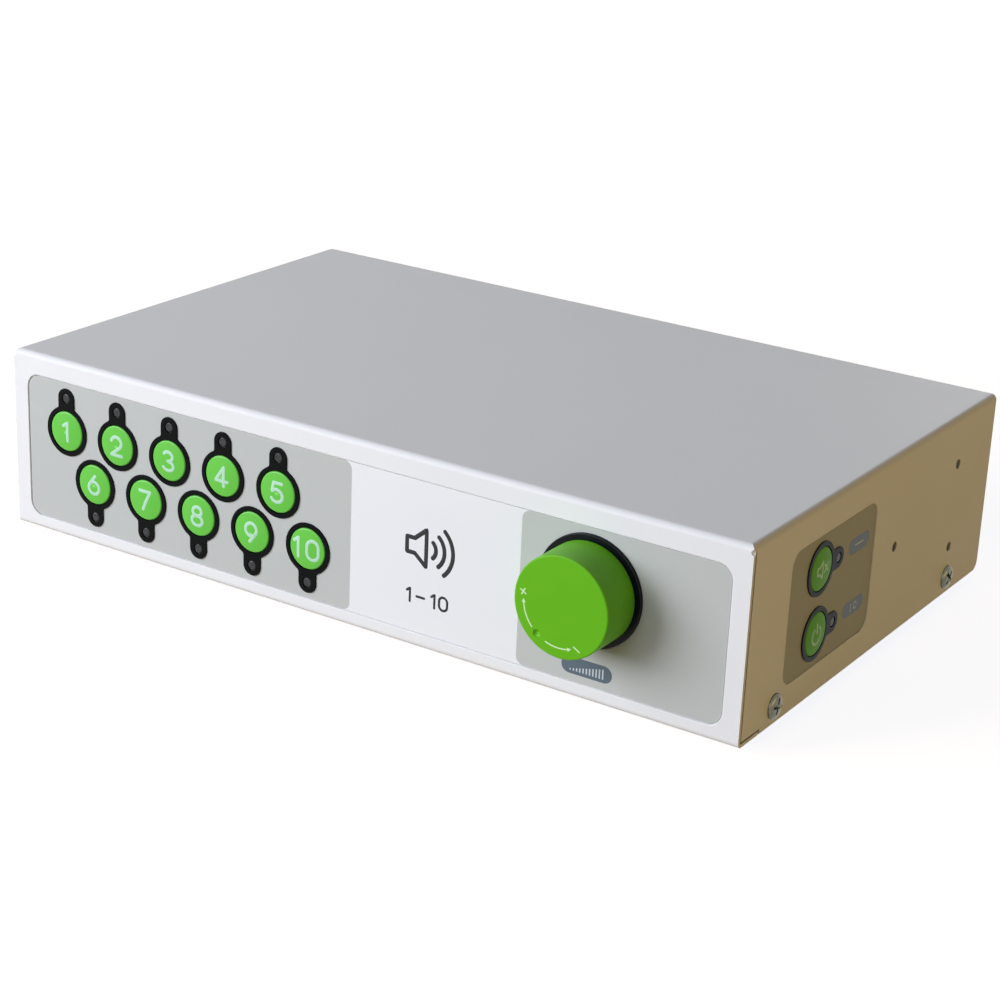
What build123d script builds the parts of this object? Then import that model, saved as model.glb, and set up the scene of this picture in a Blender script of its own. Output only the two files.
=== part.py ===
from build123d import *

import os
from collections.abc import Callable
from dataclasses import dataclass
from math import atan2, degrees, sqrt

# Ten-way speaker selector switch with a volume knob, mute key and power key.
# A folded steel cover (top, front and both sides) closes over a folded chassis that carries
# the switching board and the sockets. Millimetres. X runs along the front, -Y is the front
# and +Z is up. The origin is on the floor, under the middle of the whole outline.

# ------------------------------------------------------------------ driving dimensions

# Case of folded sheet steel
CASE_WIDTH = 250.0
CASE_DEPTH = 155.0
CASE_HEIGHT = 56.0
SHEET = 1.0
BEND_RADIUS = 1.8
SEAM_GAP = 0.6
CORNER_RELIEF = 0.8
LIP_DEPTH = 11.0
FLANGE_CORNER = 3.0
SHELL_FIT = 0.2
CHASSIS_SETBACK = 3.0
UPSTAND_HEIGHT = 10.0
UPSTAND_NOTCH_GAP = 1.2
REAR_LIP = 10.0

# Screws that hold the cover on the chassis, two in each side
CASE_SCREW_RADIUS = 1.75
CASE_SCREW_LENGTH = 6.0
CASE_SCREW_HEAD = 3.6
CASE_SCREW_HEAD_HEIGHT = 1.3
CASE_SCREW_HEAD_ROUND = 0.8
CASE_SCREW_HEIGHT = 5.2
CASE_SCREW_FRONT = 19.2
CASE_SCREW_REAR = 24.6
DRIVE_WIDTH = 1.1
DRIVE_DEPTH = 0.9
SCREW_FIT = 0.2
TAPPED_FIT = 0.04

# Bracket holes in each side: a pair one above the other, and one further forward
BRACKET_HOLE_RADIUS = 1.5
BRACKET_PAIR_SPACING = 26.0
BRACKET_PAIR_REAR = 25.0
BRACKET_SINGLE_REAR = 66.3

# Printed overlay films, laid in shallow recesses pressed into the steel
RECESS_DEPTH = 0.6
RECESS_EDGE = 0.3
FILM = 0.3
FILM_GAP = 0.2
FILM_CORNER = 4.3
FILM_BORDER = 1.65
FILM_SIDE_MARGIN = 5.5
FILM_DROP_SHARE = 0.15362
SIDE_FILM_DROP = 0.6
SIDE_FILM_AHEAD = 17.4
SIDE_FILM_BEHIND = 33.3

# Keys: two staggered rows of five on the front, two more one above the other on the right side
KEY_PITCH = 20.0
KEYS_PER_ROW = 5
FIRST_KEY_MARGIN = 20.7
ROW_SHIFT = 10.8
KEY_WEB = 1.6
SIDE_KEY_SETBACK = 40.8
SIDE_KEY_SPACING = 18.7
CAP_RADIUS = 6.2
CAP_PLAY = 0.15
CAP_PROUD = 0.4
CAP_CROWN = 0.35
CAP_EDGE = 0.6
CAP_TOP = 1.2
CAP_WALL = 1.0
CAP_FLANGE = 0.8
CAP_FLANGE_RIM = 0.7
CAP_REST_GAP = 0.15
STEM_RADIUS = 1.6

# Bezels: a flat ring with a tab for the indicator light, and a collar through the panel
COLLAR_WALL = 0.65
COLLAR_FIT = 0.1
COLLAR_LENGTH = 2.5
RING_OVERLAP = 0.65
BEZEL = 0.4
BEZEL_EDGE = 0.15
LIGHT_REACH = 10.3
TAB_WIDTH = 6.2
TAB_CORNER = 0.8

# Light pipes and their lamps
PIPE_RADIUS = 1.5
PIPE_FIT = 0.05
PIPE_SUNK = 0.1
PIPE_EDGE = 0.5
PIPE_FLANGE_RADIUS = 2.2
PIPE_FLANGE = 0.8
PIPE_LAMP_GAP = 0.2
LAMP_LENGTH = 3.2
LAMP_WIDTH = 1.6
LAMP_HEIGHT = 1.1

# Tact switches under the keys
SWITCH_SIDE = 6.0
SWITCH_BODY = 3.5
SWITCH_RISE = 0.8
PLUNGER_RADIUS = 1.75
PLUNGER_LENGTH = 1.7
PLUNGER_PLAY = 0.25
PLUNGER_WELL = 2.0
SWITCH_CLEARANCE = 0.85

# Circuit boards and what holds them
BOARD = 1.6
BOARD_EDGE = 1.0
KEY_BOARD_END = 11.0
SIDE_BOARD_AHEAD = 16.3
SIDE_BOARD_BEHIND = 31.2
STUD_RADIUS = 1.5
STUD_TAIL = 3.2
STUD_FIT = 0.1
SPACER_RADIUS = 3.0
NUT_ACROSS_FLATS = 5.5
NUT_HEIGHT = 2.4
SIDE_STUD_AHEAD = 12.0
SIDE_STUD_BEHIND = 20.0

# Knob, its trim ring and the volume control behind it
KNOB_MARGIN = 46.3
KNOB_RISE = 4.75
KNOB_RADIUS = 14.2
KNOB_REACH = 14.1
KNOB_EDGE = 0.5
KNOB_TOP = 2.2
KNOB_WALL = 1.8
KNOB_COLLAR_RADIUS = 5.0
KNOB_COLLAR_GAP = 1.0
KNOB_RIB = 1.0
KNOB_RIB_HEIGHT = 2.5
KNOB_RIBS = 6
KNOB_SLIT = 1.0
KNOB_SLIT_LENGTH = 4.5
DIMPLE_REACH = 11.2
DIMPLE_ANGLE = -143.0
DIMPLE_RADIUS = 1.4
DIMPLE_DEPTH = 0.6
RING_BORDER = 1.7
RING_HEIGHT = 0.9
RING_BORE = 7.0
RING_EDGE = 0.3
RING_KNOB_GAP = 0.4
CLIP_THICKNESS = 0.7
CLIP_WIDTH = 1.2
CLIP_SETBACK = 1.4
CLIP_GAP = 2.0
CLIP_FIT = 0.03
SHAFT_RADIUS = 3.0
SHAFT_FLAT = 1.5
SHAFT_FIT = 0.06
SHAFT_TIP_GAP = 0.4
BUSHING_RADIUS = 3.5
BUSHING_LENGTH = 5.5
BUSHING_PLATE = 1.2
BUSHING_FIT = 0.15
LOCATING_REACH = 7.6
LOCATING_TAB_LENGTH = 2.4
LOCATING_TAB_WIDTH = 1.0
WASHER_RADIUS = 5.6
WASHER = 0.5
BUSHING_NUT_ACROSS_FLATS = 10.0
BUSHING_NUT = 2.0
CONTROL_RADIUS = 8.5
CONTROL_DEPTH = 10.0
CONTROL_WALL = 0.8
ROTOR_RADIUS = 6.6
ROTOR = 1.5
ROTOR_GAP = 0.6
SHAFT_TAIL = 1.6
CONTROL_BOARD_SIDE = 23.0
CONTROL_BOARD_CORNER = 1.0

# Switching board inside, on standoffs
STANDOFF_HEIGHT = 6.4
STANDOFF_RADIUS = 2.9
STANDOFF_INSET = 5.0
MAIN_BOARD_SETBACK = 58.0
MAIN_BOARD_SIDE_MARGIN = 16.0
MAIN_BOARD_REAR_GAP = 0.4
BOARD_SCREW_RADIUS = 1.5
BOARD_SCREW_HEAD = 2.8
BOARD_SCREW_HEAD_HEIGHT = 1.8
BOARD_SCREW_LENGTH = 5.0

# Sockets along the back: ten outputs, one input and the supply inlet
OUTPUTS = 10
SOCKET_PITCH = 16.0
FIRST_SOCKET_MARGIN = 22.0
INPUT_MARGIN = 42.0
INLET_MARGIN = 22.0
SOCKET_WIDTH = 9.6
SOCKET_HEIGHT = 11.0
SOCKET_BODY = 12.0
SOCKET_NOSE_RADIUS = 3.0
SOCKET_REACH = 3.5
SOCKET_BORE_RADIUS = 1.8
SOCKET_BORE_DEPTH = 14.5
SOCKET_HOLE_FIT = 0.1
SOCKET_NUT_RADIUS = 4.0
SOCKET_NUT = 2.0
SOCKET_NUT_FIT = 0.05
INLET_WIDTH = 11.0
INLET_NOSE_RADIUS = 4.0
INLET_NUT_RADIUS = 5.5
INLET_BORE_RADIUS = 2.75
INLET_BORE_DEPTH = 10.0
INLET_PIN_RADIUS = 1.0
INLET_PIN_SHORT = 1.5

# Parts on the switching board
RELAY_WIDTH = 10.0
RELAY_DEPTH = 15.0
RELAY_HEIGHT = 11.0
RELAY_GAP = 8.0
RELAY_CORNER = 0.6
CAPACITORS = 2
CAPACITOR_RADIUS = 5.0
CAPACITOR_HEIGHT = 14.0
CAPACITOR_PITCH = 13.0
CAPACITOR_REAR = 28.0
CAPACITOR_TOP_EDGE = 0.7
CHIP_WIDTH = 7.6
CHIP_HEIGHT = 3.4
CHIP_LENGTHS = (35.0, 24.0)
CHIP_SETBACK = 78.0
CHIP_PITCH = 40.0
HEADER_WIDTH = 10.0
HEADER_DEPTH = 5.8
HEADER_HEIGHT = 7.0
HEADER_SETBACK = 66.0
SIDE_HEADER_MARGIN = 30.0
KEY_HEADER_MARGIN = 70.0
RIBBON = 0.9
RIBBON_WIDTH = 8.0
RIBBON_BEND = 5.0
SIDE_RIBBON_BEND = 3.0

# Rubber feet, screwed on from below
FOOT_HEIGHT = 3.0
FOOT_RADIUS = 6.0
FOOT_TAPER_ANGLE = 12.0
FOOT_INSET = 24.0
FOOT_SCREW_RADIUS = 1.5
FOOT_SCREW_HEAD = 2.8
FOOT_SCREW_HEAD_HEIGHT = 1.4
FOOT_SCREW_RECESS = 2.2
FOOT_SCREW_TIP = 2.5

# ------------------------------------------------------------------ places that follow

REAR_REACH = SOCKET_REACH
FRONT_Y = KNOB_REACH - (KNOB_REACH + CASE_DEPTH + REAR_REACH) / 2
REAR_Y = FRONT_Y + CASE_DEPTH
CASE_MIDDLE_Y = (FRONT_Y + REAR_Y) / 2
CASE_BOTTOM = FOOT_HEIGHT
CASE_TOP = CASE_BOTTOM + CASE_HEIGHT
HALF_WIDTH = CASE_WIDTH / 2

# Depths behind the outside of a panel that carries keys, from the outside in
BEZEL_SEAT = RECESS_DEPTH - FILM
BEZEL_FACE = BEZEL_SEAT - BEZEL
CAP_FACE = BEZEL_FACE - CAP_PROUD
PANEL_BACK = SHEET + RECESS_DEPTH
COLLAR_END = BEZEL_SEAT + COLLAR_LENGTH
FLANGE_FRONT = COLLAR_END + CAP_REST_GAP
FLANGE_BACK = FLANGE_FRONT + CAP_FLANGE
PLUNGER_TOP = FLANGE_BACK + SWITCH_CLEARANCE
SWITCH_FACE = PLUNGER_TOP + SWITCH_RISE
BOARD_FACE = SWITCH_FACE + SWITCH_BODY
BOARD_BACK = BOARD_FACE + BOARD
STUD_END = BOARD_BACK + STUD_TAIL

COLLAR_RADIUS = CAP_RADIUS + CAP_PLAY + COLLAR_WALL
KEY_HOLE_RADIUS = COLLAR_RADIUS + COLLAR_FIT
RING_RADIUS = KEY_HOLE_RADIUS + RING_OVERLAP
LIGHT_HOLE_RADIUS = PIPE_RADIUS + COLLAR_FIT
TAB_TIP = LIGHT_REACH + TAB_WIDTH / 2

# The rows stand as close as the rings of neighbouring keys allow
NEAREST_SHIFT = min(ROW_SHIFT, KEY_PITCH - ROW_SHIFT)
ROW_SPACING = sqrt((2 * RING_RADIUS + KEY_WEB) ** 2 - NEAREST_SHIFT**2)
# The front film hangs below the middle of the panel, by a share of the flat height that it leaves free
TAB_SPAN = ROW_SPACING + 2 * TAB_TIP
FREE_HEIGHT = CASE_HEIGHT - TAB_SPAN - 2 * (BEND_RADIUS + FILM_BORDER + FILM_GAP)
FIELD_Z = CASE_HEIGHT / 2 - FILM_DROP_SHARE * FREE_HEIGHT
SIDE_FIELD_Z = CASE_HEIGHT / 2 - SIDE_FILM_DROP
UPPER_ROW_Z = FIELD_Z + ROW_SPACING / 2
LOWER_ROW_Z = FIELD_Z - ROW_SPACING / 2
FIRST_KEY_X = -HALF_WIDTH + FIRST_KEY_MARGIN
KNOB_AT = (HALF_WIDTH - KNOB_MARGIN, FIELD_Z + KNOB_RISE)


def front_plane(depth):
    """Upright plane this deep behind the front panel: local x is X, local y is height above the case."""
    return Plane(origin=(0, FRONT_Y + depth, CASE_BOTTOM), x_dir=(1, 0, 0), z_dir=(0, -1, 0))


def flank_plane(depth, side=1):
    """Upright plane this deep behind the right side (left: -1): local x is side * distance from front."""
    origin = (side * (HALF_WIDTH - depth), FRONT_Y, CASE_BOTTOM)
    return Plane(origin=origin, x_dir=(0, side, 0), z_dir=(side, 0, 0))


def on_flank(points, side):
    """Points given as (distance from the front, height), in the local frame of that side's plane."""
    return [(side * setback, height) for setback, height in points]


def level_plane(height):
    """Level plane this far above the bottom of the case, with its origin on the front panel's middle."""
    return Plane.XY.offset(CASE_BOTTOM + height)


@dataclass
class KeyPanel:
    """A face that carries keys: its planes, and where its keys, lights, film and studs lie on it."""

    plane: Callable
    keys: list
    lights: list
    film_centre: tuple
    film_size: tuple
    board_centre: tuple
    board_size: tuple
    studs: list

    def bezel_places(self):
        """Place of each bezel: on its key, turned so that its +Y points to its light."""
        places = []
        for key, light in zip(self.keys, self.lights):
            turn = degrees(atan2(light[1] - key[1], light[0] - key[0])) - 90
            places.append(Location((*key, 0), (0, 0, turn)))
        return places

    def outward(self):
        """Axis that points out of the panel."""
        face = self.plane(0)
        return Axis(face.origin, face.z_dir)

    def axial_plane(self, key):
        """Plane through a key's axis: local x is the radius and local y points out of the panel."""
        face = self.plane(0)
        origin = face.from_local_coords((key[0], key[1], 0))
        return Plane(origin=origin, x_dir=face.x_dir, z_dir=-face.y_dir)


upper_keys = [(FIRST_KEY_X + i * KEY_PITCH, UPPER_ROW_Z) for i in range(KEYS_PER_ROW)]
lower_keys = [(FIRST_KEY_X + ROW_SHIFT + i * KEY_PITCH, LOWER_ROW_Z) for i in range(KEYS_PER_ROW)]
upper_lights = [(x, z + LIGHT_REACH) for x, z in upper_keys]
lower_lights = [(x, z - LIGHT_REACH) for x, z in lower_keys]
# Studs stand halfway between two tabs, near each end of a row
upper_studs = [(x + KEY_PITCH / 2, z) for x, z in (upper_lights[0], upper_lights[-2])]
lower_studs = [(x + KEY_PITCH / 2, z) for x, z in (lower_lights[0], lower_lights[-2])]
board_start = upper_keys[0][0] - KEY_BOARD_END
board_stop = lower_keys[-1][0] + KEY_BOARD_END

front = KeyPanel(
    plane=front_plane,
    keys=upper_keys + lower_keys,
    lights=upper_lights + lower_lights,
    film_centre=(0, FIELD_Z),
    film_size=(CASE_WIDTH - 2 * FILM_SIDE_MARGIN, TAB_SPAN + 2 * FILM_BORDER),
    board_centre=((board_start + board_stop) / 2, FIELD_Z),
    board_size=(board_stop - board_start, TAB_SPAN + 2 * BOARD_EDGE),
    studs=upper_studs + lower_studs,
)

side_keys = [(SIDE_KEY_SETBACK, SIDE_FIELD_Z + up * SIDE_KEY_SPACING / 2) for up in (1, -1)]
side_span = SIDE_KEY_SPACING + 2 * RING_RADIUS
side_stud_setbacks = (SIDE_KEY_SETBACK - SIDE_STUD_AHEAD, SIDE_KEY_SETBACK + SIDE_STUD_BEHIND)
side = KeyPanel(
    plane=flank_plane,
    keys=side_keys,
    lights=[(y + LIGHT_REACH, z) for y, z in side_keys],
    film_centre=(SIDE_KEY_SETBACK + (SIDE_FILM_BEHIND - SIDE_FILM_AHEAD) / 2, SIDE_FIELD_Z),
    film_size=(SIDE_FILM_AHEAD + SIDE_FILM_BEHIND, side_span + 2 * FILM_BORDER),
    board_centre=(SIDE_KEY_SETBACK + (SIDE_BOARD_BEHIND - SIDE_BOARD_AHEAD) / 2, SIDE_FIELD_Z),
    board_size=(SIDE_BOARD_AHEAD + SIDE_BOARD_BEHIND, side_span + 2 * BOARD_EDGE),
    studs=[(setback, SIDE_FIELD_Z) for setback in side_stud_setbacks],
)
panels = (front, side)

# Inside the case, heights above the bottom of the case
CHASSIS_TOP = 2 * SHEET
MAIN_BOARD_BOTTOM = CHASSIS_TOP + STANDOFF_HEIGHT
MAIN_BOARD_TOP = MAIN_BOARD_BOTTOM + BOARD
SOCKET_Z = MAIN_BOARD_TOP + SOCKET_HEIGHT / 2
REAR_WALL_FACE = REAR_Y - SHEET
MAIN_BOARD_FRONT_Y = FRONT_Y + MAIN_BOARD_SETBACK
MAIN_BOARD_REAR_Y = REAR_WALL_FACE - MAIN_BOARD_REAR_GAP
MAIN_BOARD_HALF = HALF_WIDTH - MAIN_BOARD_SIDE_MARGIN
RELAY_FRONT_Y = REAR_WALL_FACE - SOCKET_BODY - RELAY_GAP - RELAY_DEPTH
output_xs = [HALF_WIDTH - FIRST_SOCKET_MARGIN - i * SOCKET_PITCH for i in range(OUTPUTS)]
input_x = -HALF_WIDTH + INPUT_MARGIN
inlet_x = -HALF_WIDTH + INLET_MARGIN
socket_points = [(x, SOCKET_Z) for x in output_xs + [input_x]]
HEADER_Y = FRONT_Y + HEADER_SETBACK
KEY_HEADER_X = -HALF_WIDTH + KEY_HEADER_MARGIN
SIDE_HEADER_X = HALF_WIDTH - SIDE_HEADER_MARGIN
SIDE_HEADER_Z = SIDE_FIELD_Z + (side.board_size[1] - HEADER_DEPTH) / 2 - BOARD_EDGE
CONTROL_BOARD_FACE = PANEL_BACK + CONTROL_DEPTH
CONTROL_BOARD_BACK = CONTROL_BOARD_FACE + BOARD
standoff_xs = (STANDOFF_INSET - MAIN_BOARD_HALF, 0, MAIN_BOARD_HALF - STANDOFF_INSET)
standoff_ys = (MAIN_BOARD_FRONT_Y + STANDOFF_INSET, RELAY_FRONT_Y - STANDOFF_INSET)
standoff_points = [(x, y) for x in standoff_xs for y in standoff_ys]
foot_xs = (-HALF_WIDTH + FOOT_INSET, HALF_WIDTH - FOOT_INSET)
foot_points = [(x, y) for x in foot_xs for y in (FRONT_Y + FOOT_INSET, REAR_Y - FOOT_INSET)]
case_screw_setbacks = (CASE_SCREW_FRONT, CASE_DEPTH - CASE_SCREW_REAR)
case_screw_points = [(setback, CASE_SCREW_HEIGHT) for setback in case_screw_setbacks]
bracket_points = [
    (CASE_DEPTH - BRACKET_PAIR_REAR, (CASE_HEIGHT + BRACKET_PAIR_SPACING) / 2),
    (CASE_DEPTH - BRACKET_PAIR_REAR, (CASE_HEIGHT - BRACKET_PAIR_SPACING) / 2),
    (CASE_DEPTH - BRACKET_SINGLE_REAR, CASE_HEIGHT / 2),
]

os.makedirs("parts", exist_ok=True)


def save(builder, name):
    """Label a finished piece and write its STEP file."""
    builder.part.label = name
    export_step(builder.part, f"parts/{name}.step")


# ------------------------------------------------------------------ cover

with BuildPart() as top_cover:
    with BuildSketch(level_plane(0)):
        with Locations((0, CASE_MIDDLE_Y)):
            Rectangle(CASE_WIDTH, CASE_DEPTH)
    extrude(amount=CASE_HEIGHT)
    # the sheet bends over the front panel's top and bottom, and over the top of both sides
    front_bends = top_cover.edges().filter_by(Axis.X).group_by(Axis.Y)[0]
    side_bends = top_cover.edges().filter_by(Axis.Y).group_by(Axis.Z)[-1]
    fillet(front_bends + side_bends, BEND_RADIUS)
    offset(amount=-SHEET, openings=top_cover.faces().sort_by(Axis.Y)[-1])
    # underneath, only the front panel's return lip stays
    with BuildSketch(level_plane(0)):
        with Locations((0, FRONT_Y + LIP_DEPTH)):
            Rectangle(CASE_WIDTH - 2 * SHEET, CASE_DEPTH, align=(Align.CENTER, Align.MIN))
    extrude(amount=SHEET, mode=Mode.SUBTRACT)
    for hand in (1, -1):
        # open seams part each side flange from the front panel and from its lip
        with BuildSketch(flank_plane(0, hand)):
            with Locations((hand * (SHEET + SEAM_GAP / 2), (SHEET + CASE_HEIGHT - BEND_RADIUS) / 2)):
                Rectangle(SEAM_GAP, CASE_HEIGHT - BEND_RADIUS - SHEET)
            with Locations((hand * (SHEET + LIP_DEPTH + SEAM_GAP) / 2, SHEET + SEAM_GAP / 2)):
                Rectangle(LIP_DEPTH + SEAM_GAP - SHEET, SEAM_GAP)
            with Locations((hand * (LIP_DEPTH + SEAM_GAP / 2), (SHEET + SEAM_GAP) / 2)):
                Rectangle(SEAM_GAP, SHEET + SEAM_GAP)
        extrude(amount=-SHEET, mode=Mode.SUBTRACT)
        with Locations((hand * HALF_WIDTH, FRONT_Y, CASE_TOP - BEND_RADIUS)):
            Sphere(CORNER_RELIEF, mode=Mode.SUBTRACT)
    lower_rear = top_cover.edges().filter_by(Axis.X).group_by(Axis.Z)[0].group_by(Axis.Y)[-1]
    fillet(lower_rear, FLANGE_CORNER)
    for panel in panels:
        # the recess is pressed in, so the metal stands out by as much behind it
        recess_length, recess_height = (size + 2 * FILM_GAP for size in panel.film_size)
        with BuildSketch(panel.plane(0)):
            with Locations(panel.film_centre):
                RectangleRounded(recess_length, recess_height, FILM_CORNER + FILM_GAP)
        extrude(amount=-RECESS_DEPTH, mode=Mode.SUBTRACT)
        outer_face = top_cover.faces().group_by(panel.outward())[-1].sort_by(SortBy.AREA)[-1]
        fillet(outer_face.inner_wires()[0].edges(), RECESS_EDGE)
        with BuildSketch(panel.plane(SHEET)):
            with Locations(panel.film_centre):
                RectangleRounded(*panel.film_size, FILM_CORNER)
        extrude(amount=-RECESS_DEPTH)
        with BuildSketch(panel.plane(0)):
            with Locations(*panel.keys):
                Circle(KEY_HOLE_RADIUS)
            with Locations(*panel.lights):
                Circle(LIGHT_HOLE_RADIUS)
        extrude(amount=-PANEL_BACK, mode=Mode.SUBTRACT)
    for hand in (1, -1):
        # clearance holes for the case screws, and the bracket holes
        with BuildSketch(flank_plane(0, hand)):
            with Locations(*on_flank(case_screw_points, hand)):
                Circle(CASE_SCREW_RADIUS + SCREW_FIT)
            with Locations(*on_flank(bracket_points, hand)):
                Circle(BRACKET_HOLE_RADIUS)
        extrude(amount=-SHEET, mode=Mode.SUBTRACT)
    # hole for the volume control's bushing, and the slot that stops it turning
    with BuildSketch(front_plane(0)):
        with Locations(KNOB_AT):
            Circle(BUSHING_RADIUS + BUSHING_FIT)
            with Locations((-LOCATING_REACH, 0)):
                Rectangle(LOCATING_TAB_WIDTH + 2 * BUSHING_FIT, LOCATING_TAB_LENGTH + 2 * BUSHING_FIT)
    extrude(amount=-PANEL_BACK, mode=Mode.SUBTRACT)
save(top_cover, "top_cover")

# ------------------------------------------------------------------ chassis

CHASSIS_WIDTH = CASE_WIDTH - 2 * (SHEET + SHELL_FIT)
CHASSIS_FRONT_Y = FRONT_Y + CHASSIS_SETBACK
CHASSIS_HEIGHT = CASE_HEIGHT - 2 * SHEET - SHELL_FIT

with BuildPart() as base_chassis:
    with BuildSketch(level_plane(SHEET)):
        with Locations((0, (CHASSIS_FRONT_Y + REAR_Y) / 2)):
            Rectangle(CHASSIS_WIDTH, REAR_Y - CHASSIS_FRONT_Y)
    extrude(amount=CHASSIS_HEIGHT)
    rear_bends = base_chassis.edges().filter_by(Axis.X).group_by(Axis.Y)[-1]
    side_bends = base_chassis.edges().filter_by(Axis.Y).group_by(Axis.Z)[0]
    fillet(rear_bends + side_bends, BEND_RADIUS)
    offset(amount=-SHEET, openings=base_chassis.faces().sort_by(Axis.Y)[0])
    # the rear wall keeps a lip under the cover's top, and the sides are low upstands
    with BuildSketch(level_plane(SHEET + UPSTAND_HEIGHT)):
        with Locations((0, CHASSIS_FRONT_Y)):
            Rectangle(
                CHASSIS_WIDTH,
                REAR_WALL_FACE - REAR_LIP - CHASSIS_FRONT_Y,
                align=(Align.CENTER, Align.MIN),
            )
        for hand in (1, -1):
            with Locations((hand * (CHASSIS_WIDTH - SHEET) / 2, REAR_WALL_FACE)):
                Rectangle(SHEET, REAR_LIP, align=(Align.CENTER, Align.MAX))
    extrude(amount=CASE_HEIGHT, mode=Mode.SUBTRACT)
    for hand in (1, -1):
        # open seam between each upstand and the rear wall
        with BuildSketch(flank_plane(SHEET + SHELL_FIT, hand)):
            with Locations((hand * (CASE_DEPTH - SHEET - SEAM_GAP / 2), SHEET + BEND_RADIUS)):
                Rectangle(SEAM_GAP, UPSTAND_HEIGHT, align=(Align.CENTER, Align.MIN))
        extrude(amount=-SHEET, mode=Mode.SUBTRACT)
        # tapped holes for the case screws
        with BuildSketch(flank_plane(SHEET + SHELL_FIT, hand)):
            with Locations(*on_flank(case_screw_points, hand)):
                Circle(CASE_SCREW_RADIUS + TAPPED_FIT)
        extrude(amount=-SHEET, mode=Mode.SUBTRACT)
    # the right upstand is notched to clear the pressed recess of the side keys
    notch_length, notch_height = (size + 2 * UPSTAND_NOTCH_GAP for size in side.film_size)
    with BuildSketch(flank_plane(SHEET + SHELL_FIT)):
        with Locations(side.film_centre):
            Rectangle(notch_length, notch_height)
    extrude(amount=-SHEET, mode=Mode.SUBTRACT)
    # socket holes through the rear wall
    with BuildSketch(front_plane(CASE_DEPTH - SHEET)):
        with Locations(*socket_points):
            Circle(SOCKET_NOSE_RADIUS + SOCKET_HOLE_FIT)
        with Locations((inlet_x, SOCKET_Z)):
            Circle(INLET_NOSE_RADIUS + SOCKET_HOLE_FIT)
    extrude(amount=-SHEET, mode=Mode.SUBTRACT)
    # tapped holes for the screws of the feet
    with BuildSketch(level_plane(SHEET)):
        with Locations(*foot_points):
            Circle(FOOT_SCREW_RADIUS + TAPPED_FIT)
    extrude(amount=SHEET, mode=Mode.SUBTRACT)
save(base_chassis, "base_chassis")

with BuildPart() as case_screws:
    for hand in (1, -1):
        with BuildSketch(flank_plane(0, hand)):
            with Locations(*on_flank(case_screw_points, hand)):
                Circle(CASE_SCREW_HEAD)
        extrude(amount=CASE_SCREW_HEAD_HEIGHT)
        with BuildSketch(flank_plane(0, hand)):
            with Locations(*on_flank(case_screw_points, hand)):
                Circle(CASE_SCREW_RADIUS)
        extrude(amount=-CASE_SCREW_LENGTH)
    rims = case_screws.edges().filter_by(GeomType.CIRCLE).group_by(Axis.X)
    fillet(rims[0] + rims[-1], CASE_SCREW_HEAD_ROUND)
    for hand in (1, -1):
        with BuildSketch(flank_plane(-CASE_SCREW_HEAD_HEIGHT, hand)):
            with Locations(*on_flank(case_screw_points, hand)):
                Rectangle(DRIVE_WIDTH, CASE_SCREW_HEAD)
                Rectangle(CASE_SCREW_HEAD, DRIVE_WIDTH)
        extrude(amount=-DRIVE_DEPTH, mode=Mode.SUBTRACT)
save(case_screws, "case_screws")

# ------------------------------------------------------------------ feet

with BuildPart() as rubber_feet:
    # each foot tapers downwards and hides its screw head in a recess
    with BuildSketch(level_plane(SHEET)):
        with Locations(*foot_points):
            Circle(FOOT_RADIUS)
    extrude(amount=-(FOOT_HEIGHT + SHEET), taper=FOOT_TAPER_ANGLE)
    with BuildSketch(Plane.XY):
        with Locations(*foot_points):
            Circle(FOOT_SCREW_HEAD + SCREW_FIT)
    extrude(amount=FOOT_SCREW_RECESS, mode=Mode.SUBTRACT)
    with BuildSketch(Plane.XY):
        with Locations(*foot_points):
            Circle(FOOT_SCREW_RADIUS + SCREW_FIT)
    extrude(amount=FOOT_HEIGHT + SHEET, mode=Mode.SUBTRACT)
save(rubber_feet, "rubber_feet")

with BuildPart() as foot_screws:
    with BuildSketch(Plane.XY.offset(FOOT_SCREW_RECESS)):
        with Locations(*foot_points):
            Circle(FOOT_SCREW_HEAD)
    extrude(amount=-FOOT_SCREW_HEAD_HEIGHT)
    with BuildSketch(Plane.XY.offset(FOOT_SCREW_RECESS)):
        with Locations(*foot_points):
            Circle(FOOT_SCREW_RADIUS)
    extrude(amount=CASE_BOTTOM + CHASSIS_TOP - FOOT_SCREW_RECESS + FOOT_SCREW_TIP)
save(foot_screws, "foot_screws")

# ------------------------------------------------------------------ overlay films


def overlay_film(panel):
    """Printed film that lies in a panel's recess, cut out for the bezel collars and light pipes."""
    with BuildPart() as film:
        with BuildSketch(panel.plane(RECESS_DEPTH)):
            with Locations(panel.film_centre):
                RectangleRounded(*panel.film_size, FILM_CORNER)
            with Locations(*panel.keys):
                Circle(KEY_HOLE_RADIUS, mode=Mode.SUBTRACT)
            with Locations(*panel.lights):
                Circle(LIGHT_HOLE_RADIUS, mode=Mode.SUBTRACT)
        extrude(amount=FILM)
    return film.part


with BuildPart() as front_overlay:
    add(overlay_film(front))
    # the volume control's washer bears on the steel, through the film
    with BuildSketch(front_plane(RECESS_DEPTH)):
        with Locations(KNOB_AT):
            Circle(WASHER_RADIUS + FILM_GAP)
    extrude(amount=FILM, mode=Mode.SUBTRACT)
save(front_overlay, "front_overlay")

with BuildPart() as side_overlay:
    add(overlay_film(side))
save(side_overlay, "side_overlay")

# ------------------------------------------------------------------ keys and their bezels

with BuildSketch() as bezel_outline:
    # the ring round a key and the tab that reaches past its light, with rounded inner corners
    Circle(RING_RADIUS)
    with Locations((0, LIGHT_REACH / 2)):
        SlotCenterToCenter(LIGHT_REACH, TAB_WIDTH, rotation=90)
    tab_roots = bezel_outline.vertices().group_by(Axis.Y)[-2]
    fillet(tab_roots, TAB_CORNER)

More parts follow.
